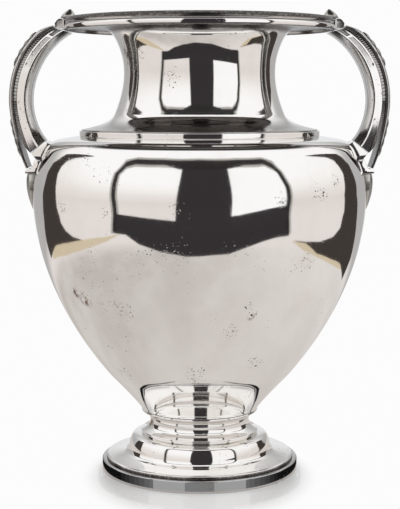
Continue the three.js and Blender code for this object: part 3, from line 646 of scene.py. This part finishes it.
def bar_section(t, ridge):
    """Bar section from its inner face round to the web and back, with bordered flat sides."""
    outer = on_line(BAR_OUTER, t)
    inner = on_line(BAR_INNER, t)
    outward = (outer - inner).normalized()
    web = outward * WEB_DEPTH * min(swell_from_rim(t), 0.25 + 8 * (1 - t))
    panel = panel_depth(t)
    # tarnish holds the sunk panels' mark, which is tarnish and painted shade
    tarnish = panel_shade_and_tarnish(t)
    web_side = WEB_HALF - 0.5 * ridge
    # Third numbers: painted shade on the inner face, deepest in the crease and at the web's foot under the
    # strap
    inner_face = [(1.0, 7.6, 0.6), (0.985, 8.1, 0.24), (0.63, 12.55, 0.24)]
    crease = [(0.605, 12.6, 0.8), (0.59, 12.2, 1), (0.575, 12.8, 0.1)]
    side = [
        (0.55, BAR_HALF, 0), (0.47, 12.9, 0), (0.44, 12.8 - panel, tarnish), (0.17, 12.2 - panel, tarnish),
        (0.14, 12.1, 0), (0.03, BAR_HALF - BAR_TILT, 0),
    ]
    web_foot = [(0.0, 11.4, 0.4), (0.0, web_side, 0.4 + 0.3 * ridge)]
    right = []
    for share, width, hollow in inner_face + crease + side + web_foot:
        right.append((outer.lerp(inner, share), width, hollow))
    right.append((outer + web, web_side, 0.3 + 0.3 * ridge))
    ring = right + [(point, -width, hollow) for point, width, hollow in reversed(right)]
    return [(point.x, width, point.y, hollow) for point, width, hollow in ring]


def handle_bar():
    """The heavy cast bar, with fine ridges along the web that carries the strap."""
    steps = 2 * WEB_RIDGES
    sections = [bar_section(i / steps, i % 2) for i in range(steps + 1)]
    on_both_handles("handle_bar", lofted(sections), "cast_silver")


def strap_fullness(t):
    """Share of the strap's full depth: it thins again towards its tip."""
    thinned = TIP_THINNING * (t - THINNING_START) / (1 - THINNING_START)
    return min(swell_from_rim(t), 1 - thinned)


def strap_narrowing(t):
    """Share of the strap's full width, which shrinks over its last fifth."""
    return 1 - TIP_NARROWING * part_way(t, NARROWING_START, 1)


def strap_frame(t):
    """A point of the strap's inner face, and the direction away from the bar."""
    upper = t < 0.5
    line = BAR_OUTER[0] if upper else STRAP_LOWER
    local = STRAP_SETBACK + (1 - STRAP_SETBACK) * 2 * t if upper else 2 * t - 1
    step = 0.002
    along = cubic(line, min(local + step, 1)) - cubic(line, max(local - step, 0))
    outward = Vector((-along.y, along.x)).normalized()
    point = cubic(line, local)
    if upper:
        point = point + outward * (WEB_DEPTH * strap_fullness(t) + SOLDER_GAP)
    return point, outward


def strap_back(y):
    """Height of the strap's crowned back over its inner face, at a distance from its middle."""
    sideways = min(abs(y) / (STRAP_HALF - STRAP_MARGIN), 1)
    return STRAP_EDGE + (STRAP_CROWN - STRAP_EDGE) * math.sqrt(1 - 0.94 * sideways * sideways)


def strap_section(t):
    """A crowned back between two grooves and two raised edges."""
    crown = STRAP_HALF - STRAP_MARGIN
    groove = STRAP_HALF - 2.2
    # Third numbers: painted shade and tarnish, darkest at the strap's foot and in its grooves, light over
    # the back
    edge = [
        (0, STRAP_HALF, 1), (STRAP_EDGE - 0.3, STRAP_HALF, 0.1), (STRAP_EDGE, STRAP_HALF - 0.3, 0),
        (STRAP_EDGE, groove, 0.5), (STRAP_EDGE - 0.6, groove - 0.2, 1), (STRAP_EDGE - 0.5, crown + 0.1, 1),
    ]
    ring = [(depth, -y, hollow) for depth, y, hollow in edge]
    for angle in range(-90, 91, 15):
        y = crown * math.sin(math.radians(angle))
        ring.append((strap_back(y), y, 0.3))
    ring += [(depth, y, hollow) for depth, y, hollow in reversed(edge)]
    point, outward = strap_frame(t)
    section = []
    for depth, y, hollow in ring:
        at = point + outward * depth * strap_fullness(t)
        section.append((at.x, y * strap_narrowing(t), at.y, hollow))
    return section


def handle_strap():
    """The moulded strap on the bar's outer side, which goes on to the bowl."""
    sections = [strap_section(i / STRAP_STEPS) for i in range(STRAP_STEPS + 1)]
    on_both_handles("handle_strap", lofted(sections), "cast_silver")


FOLIAGE_HALF = 10
FOLIAGE_LOBES = 4
FOLIAGE_STEPS = 72
FOLIAGE_LIFT = 0.1


def foliage_ring(s, t, full_relief):
    """Section of the leaves: lobes that swell and pinch along them, each with its ribs, on a flat back."""
    lobe = abs(math.sin(FOLIAGE_LOBES * math.pi * s))
    taper = min(1, 0.35 + 4 * s, 0.35 + 4 * (1 - s))
    half = FOLIAGE_HALF * taper * (0.72 + 0.28 * lobe)
    relief = full_relief * (0.55 + 0.45 * lobe)

    def on_strap(y):
        return strap_back(y / strap_narrowing(t)) * strap_fullness(t) + FOLIAGE_LIFT

    ring = []
    for k in range(-10, 11):
        share = k / 10
        crown = max(0, 1 - abs(share) ** 2.4) ** 0.6
        rib = 0.22 * math.cos(3 * math.pi * share + 2 * math.pi * FOLIAGE_LOBES * s)
        # hollow is painted shade and tarnish: dark in the clefts between lobes, towards the edges and on
        # the flat back
        hollow = min(1, max(0, 0.9 - lobe - 2 * rib) + (1 - crown) ** 2)
        ring.append((on_strap(half * share) + relief * crown * (0.8 + rib), half * share, hollow))
    for k in range(8, -9, -2):
        ring.append((on_strap(half * k / 10), half * k / 10, 1))
    return ring


def foliage(name, start, end, full_relief):
    """Cast leaves that follow the back of the strap from one place to another."""
    sections = []
    for i in range(FOLIAGE_STEPS + 1):
        s = i / FOLIAGE_STEPS
        t = start + (end - start) * s
        point, outward = strap_frame(t)
        section = []
        for depth, y, hollow in foliage_ring(s, t, full_relief):
            at = point + outward * depth
            section.append((at.x, y, at.y, hollow))
        sections.append(section)
    on_both_handles(name, lofted(sections), "chased_silver")


# How far a casting sinks into the solder, and sizes of the small castings
SINK = 0.9
BRACKET_HALF = 8.3
CLASP_REACH = 100.1


def seat(level, y):
    """Where a casting meets the bowl at a level, sunk a little into the solder."""
    radius = bowl_radius(level) - SINK
    return math.sqrt(radius * radius - y * y)


def turned_out(outline, y, inner_x, outer_x):
    """Narrows an outline a little towards its outer points, so that its flat end faces outwards."""
    return [(x, y * (1 - 0.1 * (x - inner_x) / (outer_x - inner_x)), z) for x, z in outline]


def stations_across(half, stations=9):
    """Evenly spaced places from one side of a casting to the other."""
    return [half * (2 * i / (stations - 1) - 1) for i in range(stations)]


def bevelled(mesh, width, angle=30):
    """Rounds every edge that turns by more than the angle, in degrees."""
    sharp = [edge for edge in mesh.edges if edge.calc_face_angle(0) > math.radians(angle)]
    bmesh.ops.bevel(
        mesh, geom=sharp, offset=width * MM, offset_type="OFFSET", segments=2, profile=0.5,
        affect="EDGES", material=-1, clamp_overlap=True,
    )
    return mesh


def rim_clasp():
    """The faceted knuckle between the bar and the rim, with a sunk panel in each end."""
    sections = []
    for y in stations_across(BAR_HALF):
        rim = math.sqrt((RIM_RADIUS + 0.1) ** 2 - y * y)
        outline = [
            (rim, RIM_BOTTOM + 0.4), (99.4, 312.8), (CLASP_REACH, 316),
            (98.6, 318.2), (96.8, 319.5), (rim, 319.5),
        ]
        sections.append(turned_out(outline, y, RIM_RADIUS, CLASP_REACH))
    mesh = bevelled(lofted(sections), 0.3)
    ends = [face for face in mesh.faces if abs(face.normal.y) > 0.9]
    bmesh.ops.inset_region(mesh, faces=ends, thickness=0.9 * MM, depth=-0.35 * MM, use_even_offset=True)
    # The sunk end panels get painted shade and tarnish
    layer = mesh.verts.layers.float["hollow"]
    for vert in {vert for face in ends for vert in face.verts}:
        vert[layer] = 0.6
    on_both_handles("rim_clasp", mesh, "cast_silver")


RIM_LEAF_HEIGHT = 6.5
RIM_LEAF_HALF = 9
RIM_LEAF_STEPS = 14
RIM_LEAF_SIDES = 24


def rim_leaf():
    """A small pointed leaf standing on the rim: its outline narrows to the tip as it leans back."""
    sections = []
    for i in range(RIM_LEAF_STEPS + 1):
        s = i / RIM_LEAF_STEPS
        z = RIM_TOP + RIM_LEAF_HEIGHT * s
        half = RIM_LEAF_HALF * (1 - s) ** 0.75 * (1 + 0.9 * s * (1 - s)) + 0.25
        front = 97.0 - 0.6 * s - 5.6 * s * s
        back = 86.2 + 0.4 * s + 3.3 * s * s
        ring = []
        for k in range(RIM_LEAF_SIDES):
            angle = 2 * math.pi * k / RIM_LEAF_SIDES
            y = half * math.cos(angle)
            depth = math.sin(angle)
            rib = 0.35 * math.exp(-(y / 0.8) ** 2) if depth > 0 else 0
            middle = (front + back) / 2
            x = middle + (front - back) / 2 * depth * (1 - 0.08 * s) + rib - 0.35
            # Painted shade and tarnish at the leaf's foot on the rim, fading up the leaf
            ring.append((x, y, z, max(0, 0.9 - 2.5 * s)))
        sections.append(ring)
    on_both_handles("rim_leaf", lofted(sections), "chased_silver")


def shoulder_block():
    """The lozenge-sided foot of the bar, seated on the shoulder."""
    ox, oz = BAR_END_OUTER
    ix, iz = BAR_END_INNER
    sections = []
    levels = [iz - 4.5, iz - 7.5, iz - 10.5, iz - 13.9]
    for y in stations_across(BAR_HALF - 0.1):
        outline = [(ox - 0.4, oz - 0.4), (ix - 0.4, iz - 0.4), (seat(iz - 2.4, y), iz - 2.4)]
        outline += [(seat(level, y), level) for level in levels]
        outline += [(ox - 4.8, oz - 6.2)]
        sections.append(turned_out(outline, y, ix, ox))
    on_both_handles("shoulder_block", bevelled(lofted(sections), 0.25, 40), "cast_silver")


def scroll_bracket():
    """The forked piece between the foot of the strap and the bowl."""
    x, z = STRAP_TIP
    sections = []
    for y in stations_across(BRACKET_HALF):
        outline = [
            (x - 5.3, z + 5.2), (x - 4.0, z + 5.5), (x - 3.1, z + 2.1), (x - 1.7, z - 0.3),
            (x + 0.4, z - 0.9), (x + 2.9, z - 2.2), (x + 2.8, z - 4.3), (seat(z - 4.3, y), z - 4.3),
            (seat(z - 1, y), z - 1), (seat(z + 2.5, y), z + 2.5), (seat(z + 5, y), z + 5),
        ]
        sections.append(turned_out(outline, y, x - 5.3, x + 2.9))
    on_both_handles("scroll_bracket", bevelled(lofted(sections), 0.25, 40), "cast_silver")


LEAF_DROP_TOP = 211.8
LEAF_DROP_LENGTH = 25
LEAF_DROP_HALF = 11
LEAF_DROP_STEPS = 40
LEAF_DROP_FLUTES = 5


def leaf_drop():
    """The long pointed leaf on the bowl below each handle, crowned and fluted along its length."""
    start = (121.6, LEAF_DROP_TOP)
    middle = (BELLY_RADIUS + 6.6, LEAF_DROP_TOP - 0.45 * LEAF_DROP_LENGTH)
    tip = (BELLY_RADIUS + 0.8, LEAF_DROP_TOP - LEAF_DROP_LENGTH)
    sections = []
    for i, (crown_x, level) in enumerate(bend(start, middle, tip, steps=LEAF_DROP_STEPS)):
        s = i / LEAF_DROP_STEPS
        taper = 0.06 + 0.94 * math.sqrt(max(0, 1 - s * s))
        half = LEAF_DROP_HALF * taper * (0.8 + 0.5 * math.sin(math.pi * s))
        front = []
        for k in range(-20, 21):
            share = k / 20
            wave = math.cos(2 * math.pi * LEAF_DROP_FLUTES * share) - 1
            flute = 0.28 * (1 - s) * wave * (1 - abs(share) ** 3)
            droop = 0.28 * abs(share) ** 1.8 * half
            # Painted shade and tarnish in the flutes and on the back against the bowl
            front.append((crown_x - droop + flute, half * share, min(1, -2.2 * flute)))
        back = [(seat(level, half * k / 10), half * k / 10, 1) for k in range(10, -11, -2)]
        ring = front + back
        sections.append([(max(x, seat(level, y)), y, level, hollow) for x, y, hollow in ring])
    on_both_handles("leaf_drop", lofted(sections), "chased_silver")


# Studio: plain cards and a pale floor

STUDIO_RADIUS = 1.2
STUDIO_EYE = 0.2
CARD_CUT = 4
FLOOR_LINE = -math.degrees(math.atan(STUDIO_EYE / STUDIO_RADIUS))
BLACK = srgb(46, 43, 44)
DARK = srgb(52, 49, 51)
UPRIGHT = srgb(64, 58, 55)
GREY = srgb(176, 174, 168)
TAN = srgb(210, 196, 170)
BACKDROP = srgb(252, 252, 252)


def studio_point(azimuth, elevation, layer):
    """Where a direction from the vase meets the studio's round wall or its floor."""
    flat = math.cos(math.radians(elevation))
    rise = math.sin(math.radians(elevation))
    reach = (STUDIO_RADIUS - layer) / flat
    if rise < 0:
        reach = min(reach, (STUDIO_EYE - layer) / -rise)
    right = math.sin(math.radians(azimuth)) * flat
    forward = -math.cos(math.radians(azimuth)) * flat
    return Vector((right * reach, forward * reach, STUDIO_EYE + rise * reach))


def cut_along(mesh, direction, place):
    """Cuts every face along one line of azimuth or elevation, so that a card follows the round wall."""
    everything = mesh.verts[:] + mesh.edges[:] + mesh.faces[:]
    bmesh.ops.bisect_plane(mesh, geom=everything, plane_co=Vector(direction) * place, plane_no=direction)


def card(name, outlines, colour, layer=0.002):
    """A plain card that only the polished surfaces see, outlined in degrees of azimuth and elevation."""
    mesh = bmesh.new()
    for outline in outlines:
        mesh.faces.new([mesh.verts.new((azimuth, elevation, 0)) for azimuth, elevation in outline])
    mesh.normal_update()
    bmesh.ops.triangulate(mesh, faces=mesh.faces)
    for axis, direction in ((0, (1, 0, 0)), (1, (0, 1, 0))):
        values = [vert.co[axis] for vert in mesh.verts]
        cut = min(values) + CARD_CUT
        while cut < max(values):
            cut_along(mesh, direction, cut)
            cut += CARD_CUT
    cut_along(mesh, (0, 1, 0), FLOOR_LINE)
    for vert in mesh.verts:
        vert.co = studio_point(vert.co.x, vert.co.y, layer)
    stage_card(name, mesh, colour)


def stage_card(name, mesh, colour):
    """Finishes a glowing card that the camera, the diffuse light and the shadows pass through."""
    data = bpy.data.meshes.new(name)
    mesh.to_mesh(data)
    mesh.free()
    material = bpy.data.materials.new(name)
    material.use_nodes = True
    material.node_tree.nodes.clear()
    graph = Graph(material.node_tree)
    light = graph.node("Emission", Color=(*colour, 1))
    graph.node("OutputMaterial", Surface=light.outputs["Emission"])
    data.materials.append(material)
    sheet = bpy.data.objects.new(name, data)
    bpy.context.scene.collection.objects.link(sheet)
    sheet.visible_camera = False
    sheet.visible_diffuse = False
    sheet.visible_shadow = False


def ribbon(name, path, width, colour, layer=0.004):
    """A narrow card along a path of directions."""
    left, right = [], []
    for i, here in enumerate(path):
        before = Vector(path[max(i - 1, 0)])
        after = Vector(path[min(i + 1, len(path) - 1)])
        along = (after - before).normalized()
        side = Vector((-along.y, along.x)) * width / 2
        left.append(tuple(Vector(here) + side))
        right.append(tuple(Vector(here) - side))
    strips = [(left[i], left[i + 1], right[i + 1], right[i]) for i in range(len(path) - 1)]
    card(name, strips, colour, layer)


def studio_cards():
    """What the polished sides show: an opening in front with its table, and an upright on each side."""
    opening = [
        (57, -17), (58, -4), (60, 18), (59, 30), (56, 35), (50, 38.5), (30, 41), (0, 42.5),
        (-30, 41), (-50, 38.5), (-57, 35.5), (-60.5, 29), (-57.5, 14), (-55.5, -1), (-55, -17),
    ]
    ribbon("opening_frame", opening, 2.8, BLACK)
    ribbon("opening_rim", opening, 5.6, GREY, 0.0005)
    lintel = [
        (-50, 38), (-27, 40.2), (-15, 38), (22, 38), (36, 39), (50, 37.5), (30, 42), (0, 43.5), (-30, 42),
    ]
    card("opening_lintel", [lintel], BLACK, 0.003)
    card("centre_card", [[(-15, -12), (20, -11), (21, 40), (-13, 40)]], DARK)
    table = [
        (-56.4, -8.5), (-37, -10.3), (-16, -12), (20, -9.7), (38, -6.9), (58.6, -3), (58.4, -18),
        (48, -19.1), (39, -20.9), (28, -23.6), (18, -26), (0, -27), (-8, -27.1), (-24, -25.1), (-38, -21.9),
        (-47, -17.9), (-56.4, -17),
    ]
    card("dark_table", [table], DARK)
    left_side = [
        (-114, 18), (-121, 18.3), (-127.3, 14.3), (-129, 10.6), (-127.5, 5), (-128.5, -4.4),
        (-131, -14.4), (-129, -18.8), (-115, -17.8), (-96, -18.8), (-73, -19.2), (-82.3, -18.6),
        (-91.2, -17), (-98.5, -14.6), (-103.9, -11.7), (-107.7, -6.7), (-108.4, 1), (-111, 9), (-114, 14.5),
    ]
    card("left_upright", [left_side], UPRIGHT)
    right_side = [
        (115.5, 17.7), (124, 18), (130.5, 12.6), (131, 6), (129, -1.6), (133, -8.6), (136.5, -17),
        (131, -23.5), (116, -22.7), (100, -23.6), (83, -23.4), (72, -20.7), (60.8, -19.8), (71.5, -19.9),
        (85.3, -19.1), (98.9, -16.5), (106.8, -13.1), (110.6, -7.9), (109.8, 0.8), (113.5, 9), (116.5, 14),
    ]
    card("right_upright", [right_side], UPRIGHT)
    left_hem = [
        (-124, -18.5), (-115, -17.6), (-96, -18.6), (-84, -18.7), (-61, -18.4), (-50, -17.4),
        (-61, -20.2), (-72, -21.5), (-86, -22.3), (-102, -22.1), (-124, -19.8),
    ]
    card("left_hem", [left_hem], TAN, 0.003)
    right_hem = [
        (60, -20), (72, -20.4), (83, -23.3), (100, -23.4), (116, -22.4), (122, -23), (110, -24.4),
        (101, -24.8), (85, -24.6), (70, -23),
    ]
    card("right_hem", [right_hem], TAN, 0.003)
    left_arch = [
        (-121.5, 17.8), (-114, 17.8), (-111, 21.2), (-103, 25.3), (-95, 28.8), (-87, 32), (-97, 30.8),
        (-106, 28), (-115, 23.2),
    ]
    card("left_arch", [left_arch], UPRIGHT, 0.004)
    right_arch = [
        (124.5, 17.5), (115.5, 17.5), (113.3, 20.5), (106, 24.6), (98, 28), (88, 32), (100, 30.2),
        (110, 26.5), (119, 21.8),
    ]
    card("right_arch", [right_arch], UPRIGHT, 0.004)
    lit_pane = [(20, -11), (56, -4), (58, 17), (57, 31), (50, 36), (22, 38)]
    card("lit_pane", [lit_pane], (1, 1, 1), 0.001)


# Shades round the foot: the angle at which each one ends, and its grey
SHADE_RADIUS = 73
SHADE_LEVELS = (0.2, 8.4)
SHADE_STEPS = 16
SHADES = (
    (8.5, 154), (28, 198), (30.5, 132), (34, 120), (38, 106), (42, 92), (46, 77), (50, 60), (54, 42),
    (110, 22), (180, 120),
)


def foot_shades():
    """Low strips round the foot, on both sides, that only the foot band is near enough to see."""
    start = 0
    for end, level in SHADES:
        mesh = bmesh.new()
        for side in (1, -1):
            edge = []
            for i in range(SHADE_STEPS + 1):
                angle = math.radians(start + (end - start) * i / SHADE_STEPS)
                edge.append((side * SHADE_RADIUS * math.sin(angle), -SHADE_RADIUS * math.cos(angle)))
            low, high = ([mesh.verts.new(Vector((x, y, z)) * MM) for x, y in edge] for z in SHADE_LEVELS)
            for i in range(SHADE_STEPS):
                mesh.faces.new((low[i], low[i + 1], high[i + 1], high[i]))
        stage_card(f"foot_shade_to_{end}", mesh, srgb(level, level, level))
        start = end


FLOOR_RADIUS = 1.2
FLOOR_DROP = 0.0002
FLOOR_FADE = (0.082, 0.114)
FADE_SHIFT = (0, 0.02, 0)
FADE_STRETCH = (1.35, 1, 1)
FLOOR_GLOW = 0.15
CLOTH_REACH = (0.4, 0.55)
# Colours the floor glows with where the silver shows it: painted fold shading, painted light on the right,
# painted shade behind
CLOTH_FOLD_SHADES = (srgb(194, 188, 184), srgb(212, 207, 203))
CLOTH_PAINTED_LIGHT_RIGHT = srgb(233, 228, 225)
CLOTH_FAR_OFF = srgb(230, 224, 221)
FLOOR_PAINTED_SHADE_BEHIND = srgb(182, 180, 179)


def floor():
    """White and glossy by the foot, fading into the backdrop; seen in the silver it glows with painted
    light and shade instead: patchy fold shading, lighter on the right, darker behind.
    """
    mesh = bmesh.new()
    bmesh.ops.create_circle(mesh, cap_ends=True, segments=96, radius=FLOOR_RADIUS)
    data = bpy.data.meshes.new("floor")
    mesh.to_mesh(data)
    mesh.free()
    material = plain_material("pale_floor", srgb(250, 250, 250), 0.08)
    graph = Graph(material.node_tree)
    nodes = material.node_tree.nodes
    camera_ray = graph.node("LightPath").outputs["Is Camera Ray"]
    place = graph.node("TexCoord").outputs["Object"]
    glow = graph.node("Emission", Color=(*srgb(254, 254, 254), 1))
    near = graph.node("MixShader", Fac=FLOOR_GLOW)
    graph.feed(near.inputs[1], nodes["Principled BSDF"].outputs["BSDF"])
    graph.feed(near.inputs[2], glow.outputs["Emission"])
    around_foot = graph.node("VectorMath", {"operation": "LENGTH"})
    forward = graph.node("Mapping", Vector=place, Location=FADE_SHIFT, Scale=FADE_STRETCH)
    graph.feed(around_foot.inputs[0], forward.outputs["Vector"])
    fade = graph.ramp(around_foot.outputs["Value"], *FLOOR_FADE)
    backdrop = graph.node("Emission", Color=(*BACKDROP, 1))
    seen = graph.node("MixShader", Fac=fade)
    graph.feed(seen.inputs[1], near.outputs["Shader"])
    graph.feed(seen.inputs[2], backdrop.outputs["Emission"])
    # Seen in the silver, the floor glows with painted light and shade: fold shading, a lighter right side,
    # shade behind
    fold_shading = graph.ramp(graph.noise(place, 4.5, 3), 0.35, 0.7)
    cloth = graph.blend(fold_shading, *CLOTH_FOLD_SHADES)
    split = graph.node("SeparateXYZ", Vector=place)
    right = graph.ramp(split.outputs["X"], -0.25, 0.5)
    cloth = graph.blend(graph.maths("MULTIPLY", right, 0.7), cloth, CLOTH_PAINTED_LIGHT_RIGHT)
    distance = graph.node("VectorMath", {"operation": "LENGTH"})
    graph.feed(distance.inputs[0], place)
    far = graph.ramp(distance.outputs["Value"], *CLOTH_REACH)
    cloth = graph.blend(far, cloth, CLOTH_FAR_OFF)
    behind = graph.ramp(split.outputs["Y"], 0.35, 0.6)
    mirrored = graph.node("Emission", Color=graph.blend(behind, cloth, FLOOR_PAINTED_SHADE_BEHIND))
    chosen = graph.node("MixShader", Fac=camera_ray)
    graph.feed(chosen.inputs[1], mirrored.outputs["Emission"])
    graph.feed(chosen.inputs[2], seen.outputs["Shader"])
    graph.feed(nodes["Material Output"].inputs["Surface"], chosen.outputs["Shader"])
    data.materials.append(material)
    sheet = bpy.data.objects.new("floor", data)
    bpy.context.scene.collection.objects.link(sheet)
    sheet.location = (0, 0, -FLOOR_DROP)


def colour_ramp(graph, value, stops):
    """Colour that changes with a value, through the given places and colours."""
    made = graph.node("ValToRGB", Fac=value)
    for element, stop in zip(made.color_ramp.elements, (stops[0], stops[-1])):
        element.position = stop[0]
        element.color = (*stop[1], 1)
    for place, colour in stops[1:-1]:
        made.color_ramp.elements.new(place).color = (*colour, 1)
    return made.outputs["Color"]


OVERHEAD = (0, 0.42, 0.9075)
OVERHEAD_EDGE = (math.cos(math.radians(36)), math.cos(math.radians(27)))
OVERHEAD_DARK = srgb(48, 45, 44)
BEHIND_EDGE = (0.5, 0.72)
SCREEN_EDGE = (0.93, 0.98)
SCREEN = srgb(232, 233, 235)

# Colours of the tent by height, from 0 straight below to 1 straight above
FRONT_STOPS = (
    (0.40, srgb(231, 225, 222)), (0.5, srgb(226, 219, 215)), (0.58, srgb(236, 231, 228)),
    (0.66, srgb(250, 248, 246)), (0.72, (1, 1, 1)),
)
BACK_STOPS = (
    (0.40, srgb(180, 179, 178)), (0.5, srgb(176, 175, 174)), (0.66, srgb(186, 186, 185)),
    (0.78, srgb(232, 232, 232)),
)


def world():
    """A white tent: bright above, warmer towards the table, greyer behind, and open overhead."""
    tent = bpy.data.worlds.new("tent")
    bpy.context.scene.world = tent
    tent.use_nodes = True
    tent.node_tree.nodes.clear()
    graph = Graph(tent.node_tree)
    direction = graph.node("TexCoord").outputs["Generated"]
    split = graph.node("SeparateXYZ", Vector=direction)
    height = graph.maths("ADD", graph.maths("MULTIPLY", split.outputs["Z"], 0.5), 0.5)
    front = colour_ramp(graph, height, FRONT_STOPS)
    back = colour_ramp(graph, height, BACK_STOPS)
    around = graph.blend(graph.ramp(split.outputs["Y"], *BEHIND_EDGE), front, back)
    around = graph.blend(graph.ramp(split.outputs["Y"], *SCREEN_EDGE), around, SCREEN)
    towards = graph.node("VectorMath", {"operation": "DOT_PRODUCT"})
    graph.feed(towards.inputs[0], direction)
    towards.inputs[1].default_value = OVERHEAD
    overhead = graph.ramp(towards.outputs["Value"], *OVERHEAD_EDGE)
    tent_light = graph.node("Background", Color=graph.blend(overhead, around, OVERHEAD_DARK))
    backdrop = graph.node("Background", Color=(*BACKDROP, 1))
    path = graph.node("LightPath")
    choose = graph.node("MixShader", Fac=path.outputs["Is Camera Ray"])
    graph.feed(choose.inputs[1], tent_light.outputs["Background"])
    graph.feed(choose.inputs[2], backdrop.outputs["Background"])
    graph.node("OutputWorld", Surface=choose.outputs["Shader"])


# Camera: a long lens a little above the middle of the vase
IMAGE_HEIGHT = 509
FOCAL_PIXELS = 1350
SENSOR_HEIGHT = 24
CAMERA_PLACE = (0.0003, -0.954, 0.2655)
CAMERA_PITCH = math.radians(6.65)


def camera():
    """Sees the vase from the photograph's place and at its angle."""
    data = bpy.data.cameras.new("camera")
    data.sensor_fit = "VERTICAL"
    data.sensor_height = SENSOR_HEIGHT
    data.lens = SENSOR_HEIGHT * FOCAL_PIXELS / IMAGE_HEIGHT
    data.clip_start = 0.01
    eye = bpy.data.objects.new("camera", data)
    bpy.context.scene.collection.objects.link(eye)
    eye.location = CAMERA_PLACE
    eye.rotation_euler = (math.pi / 2 - CAMERA_PITCH, 0, 0)
    bpy.context.scene.camera = eye


camera()
foot_band()
foot()
stem()
bowl()
shoulder_ring()
neck()
rim_moulding()
handle_bar()
handle_strap()
foliage("upper_foliage", 0.12, 0.34, 1.4)
foliage("lower_foliage", 0.64, 0.9, 1.0)
rim_clasp()
rim_leaf()
shoulder_block()
scroll_bracket()
leaf_drop()
studio_cards()
foot_shades()
floor()
world()
bpy.context.scene.view_settings.view_transform = "Standard"
